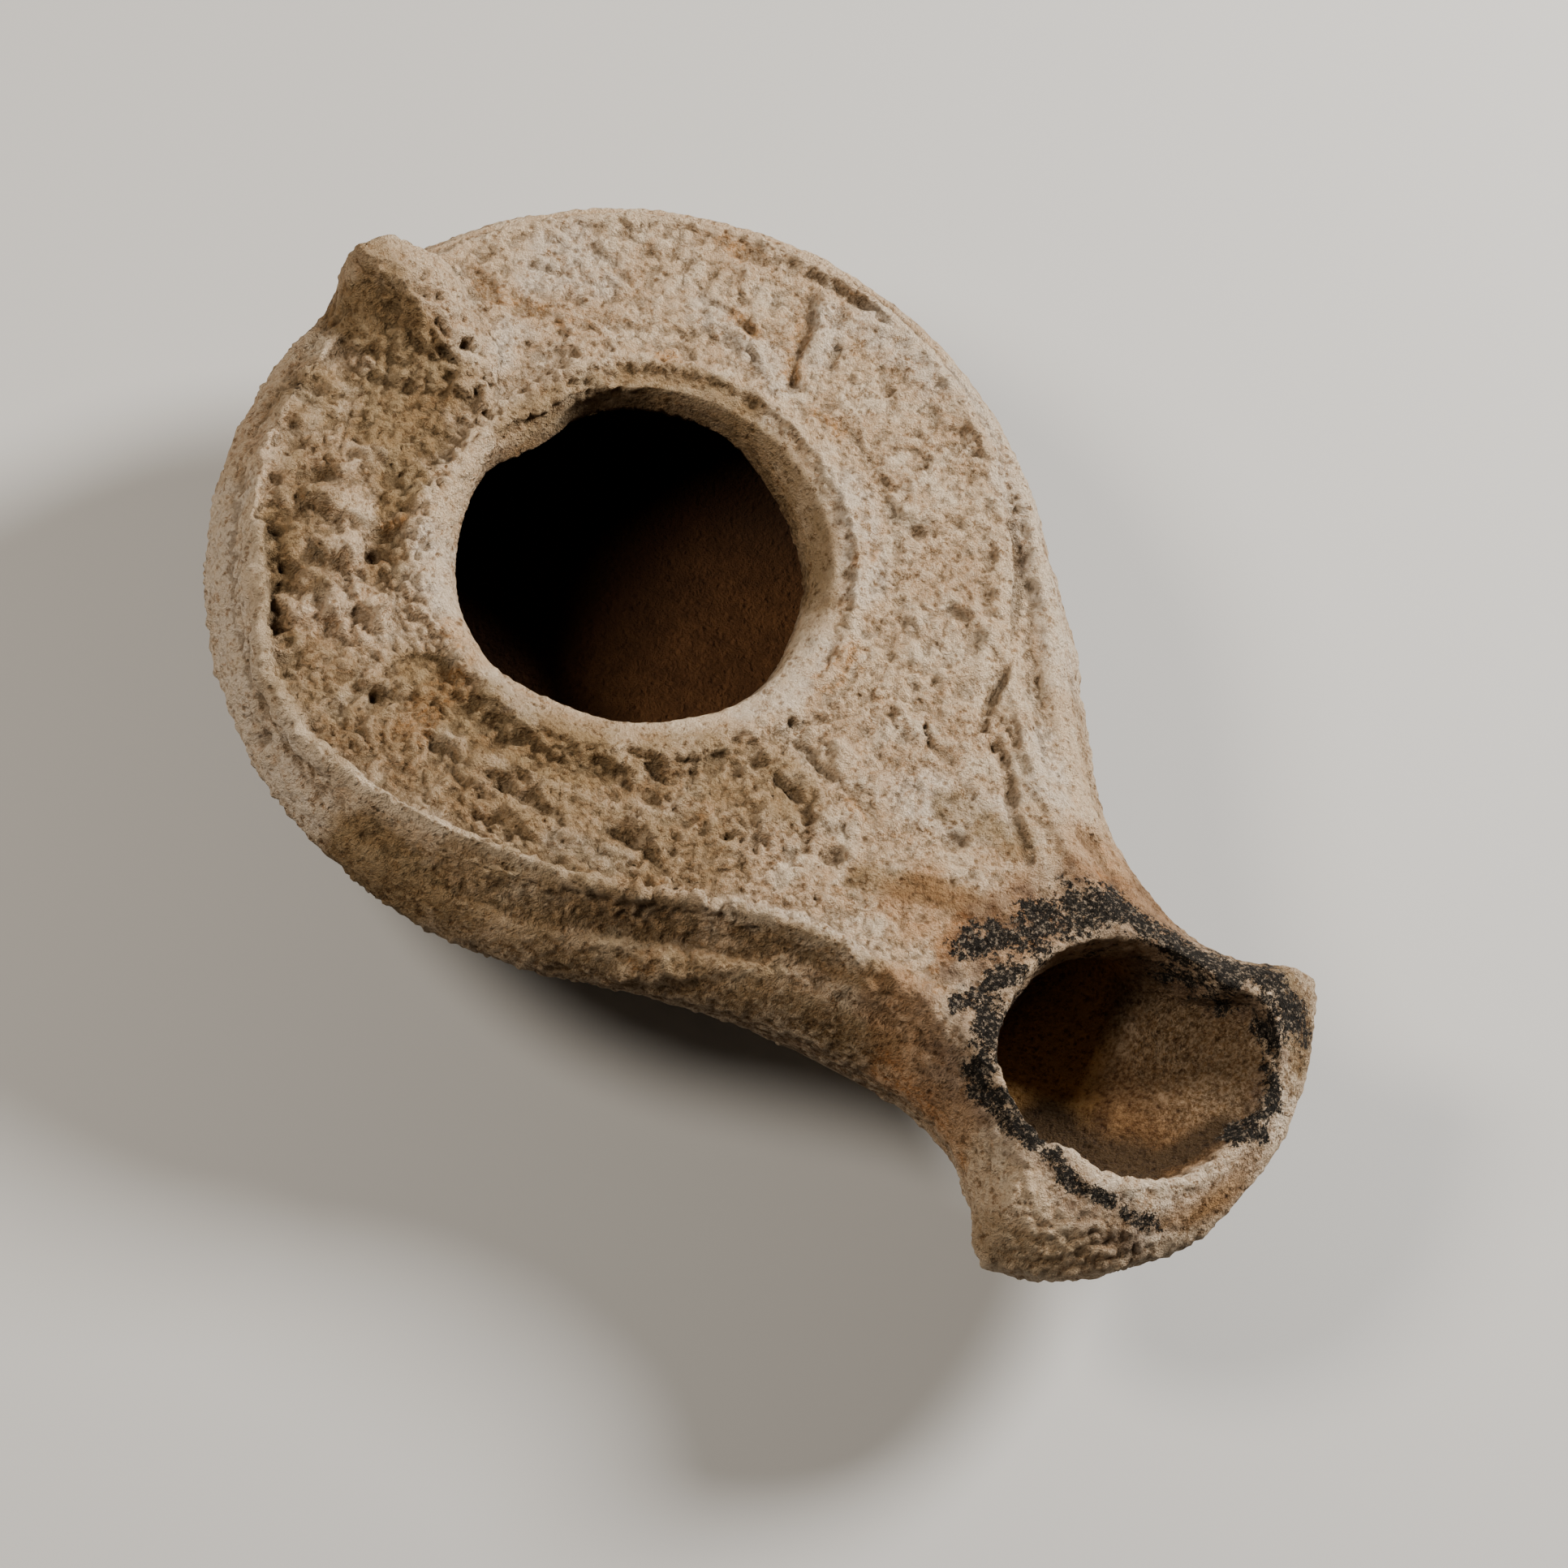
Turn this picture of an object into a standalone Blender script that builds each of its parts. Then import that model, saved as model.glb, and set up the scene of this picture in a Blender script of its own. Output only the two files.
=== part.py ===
# Terracotta oil lamp: a round body with a bow-shaped nozzle, a pyramid handle, a flat
# shoulder of worn scroll rings, a wide filling hole and a wick hole with a sloping front.
# Metres. +Z up, the nozzle towards -Y, the origin in the middle of the foot.

import math

import bmesh
import bpy
from mathutils import Vector

MM = 0.001

# plan, in millimetres
BODY_R = 30.9           # widest radius of the body
FLANK_ANGLE = -40.0     # where the nozzle leaves the round body, degrees from +X
NECK_Y = -44.0          # narrowest part of the neck
NECK_HALF = 11.9
CORNER_X = 16.4         # corners of the bow-shaped nozzle
CORNER_Y = -54.0
TIP_Y = -62.4

# heights
WIDEST_Z = 17.0         # widest line of the wall
WIDEST_TIP_DROP = 0.8
SHOULDER_Z = 22.1       # flat of the shoulder
TIP_DROP = 2.8          # the worn front lip lies lower than the shoulder
UNDER_DEPTH = 15.2      # depth of the underside below the widest line
UNDER_POWER = 1.9
KEEL_BODY = (-16.0, 2.6)    # underside of the nozzle, along Y and Z
KEEL_TIP = (-62.4, 10.4)
BOAT_REACH = 9.0        # how far in the round side of the nozzle goes
BLEND = 2.0             # softness where bowl and nozzle meet

# foot, a low flat disc
FOOT_R = 16.4
FOOT_FLARE = 0.9
FOOT_TOP_Z = 3.6
BOWL_REACH = BODY_R - FOOT_R

# rim of the filling hole
HOLE_R = 12.7
CAP_R = 12.9
RIM_PROFILE = ((12.9, 0.0), (13.6, 0.35), (14.3, 0.5), (15.2, 0.2), (16.4, -0.6), (17.7, -0.7),
               (19.6, 0.0))

# edge of the top, as distance in from the widest line and share of the rise
EDGE_PROFILE = ((0.0, 0.0), (0.35, 0.25), (1.0, 0.45), (1.8, 0.63), (2.6, 0.62), (3.4, 0.85),
                (4.1, 1.07), (4.7, 1.13), (5.6, 1.03), (6.8, 1.0))
EDGE_NARROW = 0.66      # the border ridge runs close to the edge at the back and sides
EDGE_WIDE = 1.1         # and further in along the flanks of the nozzle
NOZZLE_PROFILE = ((0.0, 0.0), (0.5, 0.26), (1.2, 0.5), (2.2, 0.76), (3.6, 0.94), (5.0, 1.0))

# wall and hollow
WALL = 3.0
ROOF_Z = 19.1           # underside of the shoulder
ROOF_RISE = 1.3         # it thins towards the filling hole

# wick hole: height, front Y, back Y and half width, from the top down
WICK_LEVELS = ((24.0, -60.8, -41.3, 9.4), (20.5, -60.4, -41.3, 9.3), (18.5, -59.6, -41.4, 9.2),
               (16.5, -57.9, -41.5, 8.8), (14.5, -55.4, -41.7, 8.1), (12.6, -52.0, -42.2, 7.0),
               (11.2, -48.6, -43.0, 5.2))
WICK_SHIFT = 2.9        # the front of the wick hole is worn further on the right

# handle: place along Y, half width of its base, height over the shoulder, underside
HANDLE_SECTIONS = ((16.2, 5.0, 0.25, 20.4), (18.0, 5.9, 1.0, 19.6), (20.5, 6.4, 2.1, 19.6),
                   (23.5, 6.6, 3.4, 19.6), (26.5, 6.4, 4.9, 18.0), (29.0, 5.6, 6.0, 16.0),
                   (30.0, 4.6, 5.8, 16.0), (30.7, 3.7, 4.2, 16.2), (31.3, 2.4, 0.2, 16.6))
HANDLE_FLANK = ((1.0, -0.04), (0.68, 0.15), (0.44, 0.4), (0.28, 0.7), (0.16, 0.94))
HANDLE_BASE_SHIFT = 0.7
HANDLE_CREST_SHIFT = -0.4

# scroll rings round the shoulder, as angles from the nozzle on each side
RING_PATH_R = 21.5
RING_R = 3.0
RING_THICK = 0.62
RING_SWEEP = 310.0
RING_COUNT = 6
LEFT_FIRST, LEFT_PITCH = 14.0, 27.0
RIGHT_FIRST, RIGHT_PITCH = 16.0, 26.0
BOSS_R = 1.3

BODY_STEPS = 24
FLANK_STEPS = 8
FLARE_STEPS = 5
CORNER_STEPS = 2
FRONT_STEPS = 8


def mix(a, b, t):
    return a + (b - a) * t


def smooth(a, b, x):
    t = min(1.0, max(0.0, (x - a) / (b - a)))
    return t * t * (3.0 - 2.0 * t)


def along(stations, x):
    """Straight-line value of a short profile, held level past both ends."""
    if x <= stations[0][0]:
        return stations[0][1]
    for (xa, ya), (xb, yb) in zip(stations, stations[1:]):
        if x <= xb:
            return mix(ya, yb, (x - xa) / (xb - xa))
    return stations[-1][1]


def bezier(p0, p1, p2, p3, t):
    s = 1.0 - t
    share = (s * s * s, 3 * s * s * t, 3 * s * t * t, t * t * t)
    return tuple(sum(k * p[i] for k, p in zip(share, (p0, p1, p2, p3))) for i in range(2))


def half_outline():
    """Right half of the widest line, from the back of the body to the tip of the nozzle."""
    pts = []
    for i in range(BODY_STEPS):
        a = math.radians(mix(90.0, FLANK_ANGLE, i / BODY_STEPS))
        pts.append((BODY_R * math.cos(a), BODY_R * math.sin(a)))

    a = math.radians(FLANK_ANGLE)
    leave = (BODY_R * math.cos(a), BODY_R * math.sin(a))
    lead = (leave[0] + 10.0 * math.sin(a), leave[1] - 10.0 * math.cos(a))
    neck = (NECK_HALF, NECK_Y)
    for i in range(FLANK_STEPS):
        pts.append(bezier(leave, lead, (NECK_HALF, NECK_Y + 8.0), neck, i / FLANK_STEPS))

    bend = (CORNER_X - 0.4, CORNER_Y + 1.5)
    for i in range(FLARE_STEPS):
        toward = (CORNER_X - 2.4, CORNER_Y + 3.4)
        pts.append(bezier(neck, (NECK_HALF, NECK_Y - 3.8), toward, bend, i / FLARE_STEPS))

    # the front is one arc through both corners and the tip
    rise = CORNER_Y - TIP_Y
    front_r = (CORNER_X ** 2 + rise ** 2) / (2.0 * rise)
    front_y = TIP_Y + front_r
    side = math.asin((CORNER_X - 1.0) / front_r)
    enter = (front_r * math.sin(side), front_y - front_r * math.cos(side))
    for i in range(CORNER_STEPS):
        high, low = (CORNER_X + 0.4, CORNER_Y + 0.5), (CORNER_X + 0.2, CORNER_Y - 0.6)
        pts.append(bezier(bend, high, low, enter, i / CORNER_STEPS))
    for i in range(FRONT_STEPS + 1):
        a = side * (1.0 - i / FRONT_STEPS)
        pts.append((front_r * math.sin(a), front_y - front_r * math.cos(a)))
    return pts


HALF = half_outline()
LOOP = HALF + [(-x, y) for x, y in reversed(HALF[1:-1])]


def edge_distance(x, y):
    """Distance in from the widest line."""
    best = 1e9
    for (xa, ya), (xb, yb) in zip(LOOP, LOOP[1:] + LOOP[:1]):
        dx, dy = xb - xa, yb - ya
        t = ((x - xa) * dx + (y - ya) * dy) / (dx * dx + dy * dy)
        t = min(1.0, max(0.0, t))
        best = min(best, math.hypot(x - xa - dx * t, y - ya - dy * t))
    return best


def widest_z(y):
    return WIDEST_Z - WIDEST_TIP_DROP * smooth(-44.0, -60.0, y)


def edge_spread(y):
    return mix(EDGE_NARROW, EDGE_WIDE, smooth(4.0, -28.0, y))


def top_z(x, y):
    """Height of the top over the plan."""
    e = edge_distance(x, y) / edge_spread(y)
    base = widest_z(y)
    crown = SHOULDER_Z - TIP_DROP * smooth(-49.0, -61.0, y)
    nozzle = smooth(-36.0, -46.0, y)
    share = mix(along(EDGE_PROFILE, e), along(NOZZLE_PROFILE, e), nozzle)
    return base + (crown - base) * share + along(RIM_PROFILE, max(math.hypot(x, y), CAP_R))


def bowl_share(t):
    return 1.0 - (1.0 - min(1.0, max(0.0, t))) ** UNDER_POWER


def under_z(x, y):
    """Height of the underside over the plan: a bowl that runs into the keel of the nozzle."""
    base = widest_z(y)
    t = (BODY_R - math.hypot(x, y)) / BOWL_REACH
    bowl = base - UNDER_DEPTH * bowl_share(t)
    if y > KEEL_BODY[0]:
        return bowl
    t = (y - KEEL_BODY[0]) / (KEEL_TIP[0] - KEEL_BODY[0])
    keel = mix(KEEL_BODY[1], KEEL_TIP[1], t)
    away = smooth(KEEL_BODY[0], -38.0, y)
    t = min(1.0, edge_distance(x, y) / mix(BOWL_REACH, BOAT_REACH, away))
    boat = base - (base - keel) * mix(bowl_share(t), math.sqrt(1.0 - (1.0 - t) ** 2.2), away)
    gap = max(0.0, BLEND - abs(bowl - boat)) / BLEND
    return min(bowl, boat) - gap * gap * BLEND * 0.25 * smooth(KEEL_BODY[0], -22.0, y)


def inner_target(index, radius):
    """Where the line in from outline point `index` ends: on a circle, then down the middle."""
    turn = BODY_STEPS + FLANK_STEPS // 2
    if index <= BODY_STEPS:
        a = math.radians(mix(90.0, -58.0, index / BODY_STEPS))
        return radius * math.cos(a), radius * math.sin(a)
    if index < turn:
        a = math.radians(mix(-58.0, -90.0, (index - BODY_STEPS) / (turn - BODY_STEPS)))
        return radius * math.cos(a), radius * math.sin(a)
    neck = BODY_STEPS + FLANK_STEPS
    head = neck + FLARE_STEPS + CORNER_STEPS
    if index <= neck:
        return 0.0, mix(-radius, -40.0, (index - turn) / (neck - turn))
    if index <= head:
        return 0.0, mix(-40.0, -49.5, (index - neck) / (head - neck))
    return 0.0, mix(-49.5, -52.0, (index - head) / FRONT_STEPS)


def inward(index):
    """Unit vector in from the outline."""
    xa, ya = HALF[max(index - 1, 0)]
    xb, yb = HALF[min(index + 1, len(HALF) - 1)]
    if index == 0:
        return 0.0, -1.0
    if index == len(HALF) - 1:
        return 0.0, 1.0
    d = math.hypot(xb - xa, yb - ya)
    return (yb - ya) / d, -(xb - xa) / d


def lines_in(edge_steps, inner_steps, radius):
    """Plan points of every ring from the outline inwards, right half only."""
    rings = []
    last = edge_steps[-1]
    for k in range(len(edge_steps) + len(inner_steps)):
        ring = []
        for i, (bx, by) in enumerate(HALF):
            sx, sy = inner_target(i, radius)
            nx, ny = inward(i)
            reach = math.hypot(sx - bx, sy - by)
            lean = max(0.35, ((sx - bx) * nx + (sy - by) * ny) / reach)
            stop = min(last * edge_spread(by) / lean, 0.62 * reach)
            if k < len(edge_steps):
                d = stop * edge_steps[k] / last
            else:
                d = mix(stop, reach, inner_steps[k - len(edge_steps)])
            ring.append((mix(bx, sx, d / reach), mix(by, sy, d / reach)))
        rings.append(ring)
    return rings


def whole(ring):
    """A half ring and its mirror image as one closed ring."""
    return ring + [(-x, y) for x, y in reversed(ring[1:-1])]


def band(bm, upper, lower):
    count = len(upper)
    for i in range(count):
        j = (i + 1) % count
        face = [upper[i], upper[j], lower[j], lower[i]]
        bm.faces.new(face)


def mesh_object(name, bm, where):
    bmesh.ops.remove_doubles(bm, verts=bm.verts, dist=0.02 * MM)
    bmesh.ops.dissolve_degenerate(bm, edges=bm.edges, dist=0.01 * MM)
    bmesh.ops.recalc_face_normals(bm, faces=bm.faces)
    mesh = bpy.data.meshes.new(name)
    bm.to_mesh(mesh)
    bm.free()
    obj = bpy.data.objects.new(name, mesh)
    where.objects.link(obj)
    return obj


def loft(name, rings, where):
    """A closed solid through rings of equal count, with flat ends."""
    bm = bmesh.new()
    made = [[bm.verts.new(Vector(p) * MM) for p in ring] for ring in rings]
    for upper, lower in zip(made, made[1:]):
        band(bm, upper, lower)
    bm.faces.new(made[0])
    bm.faces.new(made[-1])
    return mesh_object(name, bm, where)


def lamp_shell(name, where):
    """Top and underside of body and nozzle, both lofted in from the widest line."""
    edge = [d for d, _ in EDGE_PROFILE[:-1]]
    inner = [0.5, 1.0]
    under_edge = [0.0, 0.4, 1.1, 2.3, 4.2]
    under_inner = [0.25, 0.5, 0.75, 1.0]
    bm = bmesh.new()

    def sheet(steps, inner_steps, radii, height):
        made = []
        for k, ring in enumerate(lines_in(steps, inner_steps, radii[0])):
            if k == 0:
                made.append([bm.verts.new(Vector((x, y, widest_z(y))) * MM) for x, y in whole(ring)])
            else:
                made.append([bm.verts.new(Vector((x, y, height(x, y))) * MM) for x, y in whole(ring)])
        for upper, lower in zip(made, made[1:]):
            band(bm, upper, lower)
        turn = BODY_STEPS + FLANK_STEPS // 2
        count = len(made[-1])
        loop = made[-1][:turn + 1] + made[-1][count - turn + 1:]
        for r in radii[1:]:
            ring = []
            for v in loop:
                x, y = v.co.x * r / radii[0], v.co.y * r / radii[0]
                ring.append(bm.verts.new(Vector((x, y, height(x / MM, y / MM) * MM))))
            band(bm, loop, ring)
            loop, radii = ring, (r,)
        bm.faces.new(loop)

    sheet(edge, inner, [r for r, _ in reversed(RIM_PROFILE)], top_z)
    sheet(under_edge, under_inner, [FOOT_R + 0.4], under_z)
    return mesh_object(name, bm, where)


def turned(name, profile, steps, where):
    """A turned body from radius and height pairs, top to bottom."""
    mesh = bpy.data.meshes.new(name)
    verts = [Vector((r, 0.0, z)) * MM for r, z in profile]
    mesh.from_pydata(verts, [(i, i + 1) for i in range(len(verts) - 1)], [])
    obj = bpy.data.objects.new(name, mesh)
    where.objects.link(obj)
    screw = obj.modifiers.new("turn", "SCREW")
    screw.angle = math.tau
    screw.steps = steps
    screw.render_steps = steps
    screw.use_merge_vertices = True
    screw.merge_threshold = 0.00005
    screw.use_normal_calculate = True
    return obj


def hollow_profile():
    """Radius and height of the inner wall, from the roof down to the middle of the floor."""
    profile = [(0.0, ROOF_Z + ROOF_RISE), (13.6, ROOF_Z + ROOF_RISE * 0.8), (17.4, ROOF_Z + 0.1)]
    profile.append((22.0, ROOF_Z))
    profile.append((25.2, ROOF_Z - 0.5))
    profile.append((26.8, ROOF_Z - 1.6))
    profile.append((27.5, WIDEST_Z - 0.4))
    for r in (29.6, 28.2, 26.0, 23.0, 19.0, 14.0, 8.0):
        step = 0.05
        slope = (under_z(r + step, 0.0) - under_z(r - step, 0.0)) / (2.0 * step)
        run = math.hypot(1.0, slope)
        profile.append((r - WALL * slope / run, under_z(r, 0.0) + WALL / run))
    profile.append((0.0, under_z(0.0, 0.0) + WALL))
    return profile


def outline_half(y):
    """Half width of the nozzle at one place along Y."""
    pts = [(-py, px) for px, py in HALF[BODY_STEPS:]]
    return along(pts, -y)


def channel_sections():
    """The bore of the nozzle, from inside the body to below the wick hole."""
    rings = []
    for y in (-8.0, -16.0, -22.0, -27.0, -32.0, -37.0, -42.0, -46.5):
        half = min(outline_half(y) - 3.4, 13.0 if y > -24.0 else 99.0)
        half = mix(half, 6.6, smooth(-38.0, -46.5, y))
        floor = under_z(0.0, y) + WALL if y < -20.0 else under_z(0.0, -20.0) + WALL
        high = (ROOF_Z - floor) * 0.5
        ring = []
        for k in range(16):
            a = math.tau * k / 16
            c, s = math.cos(a), math.sin(a)
            x = half * math.copysign(abs(c) ** 0.92, c)
            z = floor + high + high * math.copysign(abs(s) ** 0.92, s)
            ring.append((x, y, z))
        rings.append(ring)
    return rings


def wick_sections():
    rings = []
    for z, front, back, half in WICK_LEVELS:
        middle, reach = (front + back) * 0.5, (back - front) * 0.5
        ring = []
        for k in range(28):
            a = math.tau * k / 28
            front_share = max(0.0, -math.sin(a))
            x = half * math.cos(a) * (1.0 + 0.13 * front_share) + WICK_SHIFT * math.sqrt(front_share)
            ring.append((x, middle + reach * math.sin(a), z))
        rings.append(ring)
    return rings


def hole_sections():
    """The filling hole: a slightly uneven round, with a stub of the broken disc at the back."""
    rings = []
    for z, grow in ((26.0, 1.5), (SHOULDER_Z + 0.5, 1.1), (21.4, 0.6), (20.2, 0.1), (17.0, 0.0)):
        ring = []
        for k in range(48):
            a = math.tau * k / 48
            wave = 0.14 * math.sin(3.0 * a + 0.6) + 0.1 * math.sin(7.0 * a)
            stub = 0.7 * smooth(16.0, 5.0, abs(math.degrees(a) - 81.0))
            r = HOLE_R + wave - stub + grow * (0.75 + 0.25 * math.cos(a - 0.6))
            ring.append((r * math.cos(a), r * math.sin(a), z))
        rings.append(ring)
    return rings


def ground_z(x, y):
    return top_z(x, y) if math.hypot(x, y) < BODY_R else WIDEST_Z


def handle_sections():
    rings = []
    for y, half, high, low in HANDLE_SECTIONS:
        crest = SHOULDER_Z + high
        ring = []
        for side in (1.0, -1.0):
            part = []
            for out, share in HANDLE_FLANK:
                shift = mix(HANDLE_BASE_SHIFT, HANDLE_CREST_SHIFT, max(0.0, share))
                x = side * half * out + shift
                base = ground_z(side * half + HANDLE_BASE_SHIFT, y) - 0.25
                part.append((x, y, mix(base, crest, share)))
            foot = (side * half * 0.9 + HANDLE_BASE_SHIFT, y, low)
            ring += [foot] + part if side > 0 else [(HANDLE_CREST_SHIFT, y, crest)] + part[::-1] + [foot]
        rings.append(ring)
    return rings


def scroll(name, cx, cy, start, hand, where):
    """One C-shaped scroll lying on the shoulder, its inner end drawn in a little."""
    data = bpy.data.curves.new(name, "CURVE")
    data.dimensions = "3D"
    data.bevel_depth = RING_THICK * MM
    data.bevel_resolution = 1
    data.use_fill_caps = True
    spline = data.splines.new("POLY")
    count = 13
    spline.points.add(count - 1)
    for k in range(count):
        t = k / (count - 1)
        a = start + hand * math.radians(RING_SWEEP) * t
        r = RING_R * (1.0 - 0.22 * t * t)
        x, y = cx + r * math.cos(a), cy + r * math.sin(a)
        z = top_z(x, y) - 0.12
        spline.points[k].co = (x * MM, y * MM, z * MM, 1.0)
    curve = bpy.data.objects.new(name, data)
    where.objects.link(curve)
    graph = bpy.context.evaluated_depsgraph_get()
    graph.update()
    bm = bmesh.new()
    mesh = bpy.data.meshes.new_from_object(curve.evaluated_get(graph))
    bm.from_mesh(mesh)
    bpy.data.objects.remove(curve)
    return mesh_object(name, bm, where)


def boss(name, cx, cy, where):
    bpy.ops.mesh.primitive_uv_sphere_add(segments=10, ring_count=6, radius=BOSS_R * MM)
    obj = bpy.context.object
    obj.name = name
    for v in obj.data.vertices:
        v.co = Vector((v.co.x + cx * MM, v.co.y + cy * MM, v.co.z * 0.75 + (top_z(cx, cy) - 0.05) * MM))
    for c in list(obj.users_collection):
        c.objects.unlink(obj)
    where.objects.link(obj)
    return obj


def clay():
    mat = bpy.data.materials.new("worn_buff_clay")
    mat.use_nodes = True
    shader = mat.node_tree.nodes["Principled BSDF"]
    shader.inputs["Base Color"].default_value = (0.46, 0.33, 0.21, 1.0)
    shader.inputs["Roughness"].default_value = 0.9
    shader.inputs["Metallic"].default_value = 0.0
    return mat


def boolean(target, other, operation):
    mod = target.modifiers.new(other.name, "BOOLEAN")
    mod.operation = operation
    mod.solver = "EXACT"
    mod.object = other


def build():
    for obj in list(bpy.data.objects):
        bpy.data.objects.remove(obj)
    scene = bpy.context.scene
    parts = bpy.data.collections.new("terracotta_oil_lamp")
    tools = bpy.data.collections.new("terracotta_oil_lamp_tools")
    scene.collection.children.link(parts)
    scene.collection.children.link(tools)

    lamp = lamp_shell("oil_lamp", parts)
    lamp.data.materials.append(clay())

    foot = [(0.0, FOOT_TOP_Z), (FOOT_R + FOOT_FLARE, FOOT_TOP_Z), (FOOT_R + 0.2, 0.5)]
    foot += [(FOOT_R - 0.4, 0.0), (0.0, 0.0)]
    adds = [turned("foot", foot, 64, tools), loft("handle", handle_sections(), tools)]

    sides = ((-1.0, LEFT_FIRST, LEFT_PITCH), (1.0, RIGHT_FIRST, RIGHT_PITCH))
    for side, first, pitch in sides:
        for k in range(RING_COUNT):
            a = math.radians(-90.0) + side * math.radians(first + pitch * k)
            cx, cy = RING_PATH_R * math.cos(a), RING_PATH_R * math.sin(a)
            tag = ("left_" if side < 0 else "right_") + str(k + 1)
            adds.append(scroll("scroll_" + tag, cx, cy, a + math.pi, -side, tools))
            adds.append(boss("boss_" + tag, cx, cy, tools))
    for piece in adds:
        boolean(lamp, piece, "UNION")

    cuts = [
        turned("hollow", hollow_profile(), 56, tools),
        loft("nozzle_bore", channel_sections(), tools),
        loft("wick_hole", wick_sections(), tools),
        loft("filling_hole", hole_sections(), tools),
    ]
    for piece in cuts:
        boolean(lamp, piece, "DIFFERENCE")
    for piece in adds + cuts:
        piece.hide_render = True
        piece.display_type = "WIRE"


build()
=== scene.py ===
import math

import bpy
import numpy as np
from mathutils import Matrix, Vector


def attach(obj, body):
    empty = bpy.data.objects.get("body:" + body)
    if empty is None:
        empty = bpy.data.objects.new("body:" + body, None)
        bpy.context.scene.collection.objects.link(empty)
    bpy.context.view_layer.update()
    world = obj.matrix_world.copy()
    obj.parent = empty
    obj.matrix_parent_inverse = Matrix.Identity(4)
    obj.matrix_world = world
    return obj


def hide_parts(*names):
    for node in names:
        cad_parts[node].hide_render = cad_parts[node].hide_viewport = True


# A worn clay oil lamp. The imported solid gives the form, and the skin made here adds
# the worn relief, chips, pits, grain and colour. Lengths below are millimetres.

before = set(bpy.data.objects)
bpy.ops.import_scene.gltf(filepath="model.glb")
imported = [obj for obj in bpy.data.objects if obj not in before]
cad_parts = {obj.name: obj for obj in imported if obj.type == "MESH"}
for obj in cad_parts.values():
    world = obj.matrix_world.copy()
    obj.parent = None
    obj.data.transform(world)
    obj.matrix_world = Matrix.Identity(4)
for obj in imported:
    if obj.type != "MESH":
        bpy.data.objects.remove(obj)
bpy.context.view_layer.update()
mm = 0.001


def deselect():
    bpy.ops.object.select_all(action="DESELECT")


def makeActive(obj):
    deselect()
    obj.select_set(True)
    bpy.context.view_layer.objects.active = obj


def applyModifier(obj, kind, **settings):
    mod = obj.modifiers.new(kind.lower(), kind)
    for key, value in settings.items():
        setattr(mod, key, value)
    makeActive(obj)
    bpy.ops.object.modifier_apply(modifier=mod.name)


def smoothStep(low, high, x):
    t = np.clip((x - low) / (high - low), 0.0, 1.0)
    return t * t * (3.0 - 2.0 * t)


def cellHash(ix, iy, iz, seed):
    n = ix * 73856093 ^ iy * 19349663 ^ iz * 83492791 ^ seed * 2654435761
    n = (n ^ (n >> 13)) * 1274126177 & 0x7FFFFFFF
    return ((n ^ (n >> 16)) & 0xFFFF) / 65535.0


noiseTurn = np.array(Matrix.Rotation(0.83, 3, Vector((1.0, 2.0, 0.6))))


def softNoise(place, size, seed):
    # smooth repeatable noise from about -1 to 1
    q = place @ noiseTurn / size + 37.0
    cell = np.floor(q).astype(np.int64)
    f = q - cell
    near = f * f * f * (f * (f * 6.0 - 15.0) + 10.0)
    total = np.zeros(len(place))
    for dx in (0, 1):
        for dy in (0, 1):
            for dz in (0, 1):
                corner = cell + (dx, dy, dz)
                away = f - (dx, dy, dz)
                slope = sum((cellHash(*corner.T, seed + 101 * k) * 2.0 - 1.0) * away[:, k] for k in range(3))
                total += np.abs((1.0 - dx, 1.0 - dy, 1.0 - dz) - near).prod(axis=1) * slope
    return np.clip(total * 1.7, -1.0, 1.0)


def roughNoise(place, size, octaves, seed):
    total = np.zeros(len(place))
    reach = 0.0
    for k in range(octaves):
        total += softNoise(place, size / 2 ** k, seed + k * 11) * 0.55 ** k
        reach += 0.55 ** k
    return total / reach


lampSkin = {
    "voxel": 0.29,
    "softenPasses": 12,
    "triangleLimit": 194000,
    "wickSmoothing": 18,
    # how much each side gives up of its faces
    "thinning": {"plain": 1.0, "side": 0.35, "top": 0.02},
    "handleMiddle": 0.7,
    # the shoulder's own relief is redrawn where it shows, over the flattened rings
    "shoulder": {"height": 22.1, "inner": 16.6, "outer": 25.6, "keep": 0.12},
}

wickHole = {
    # its middle along the nozzle, how much narrower it is than long, how far the left edge is drawn in
    "middle": -50.5, "narrow": 1.08, "drawnIn": 0.6,
    # the crease in its floor, and past it the floor's height and its slopes, forward, to the right
    # and curling up the right wall
    "crease": -50.0, "creaseRun": (0.55, -0.835), "floor": 13.6, "slopes": (0.38, 0.15, 0.09), "rise": 0.9,
}

# the border ridge on the left, and the groove outside it
leftRidge = [(-19.3, 19.5), (-21.8, 16.1), (-23.3, 14.3), (-24.9, 12.6), (-26.4, 10.4), (-27.2, 7.8),
             (-27.8, 4.9), (-27.7, 2.0), (-27.1, -0.6), (-26.3, -4.0), (-24.8, -7.5), (-23.2, -10.8),
             (-21.6, -14.2), (-20.4, -16.2), (-18.2, -19.0)]
borderGroove = [(-27.6, -3.0), (-26.5, -7.8), (-25.0, -11.3), (-23.2, -14.3), (-20.5, -18.2), (-17.5, -21.7),
                (-14.4, -25.1), (-12.6, -28.2), (-10.9, -31.4)]

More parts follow.
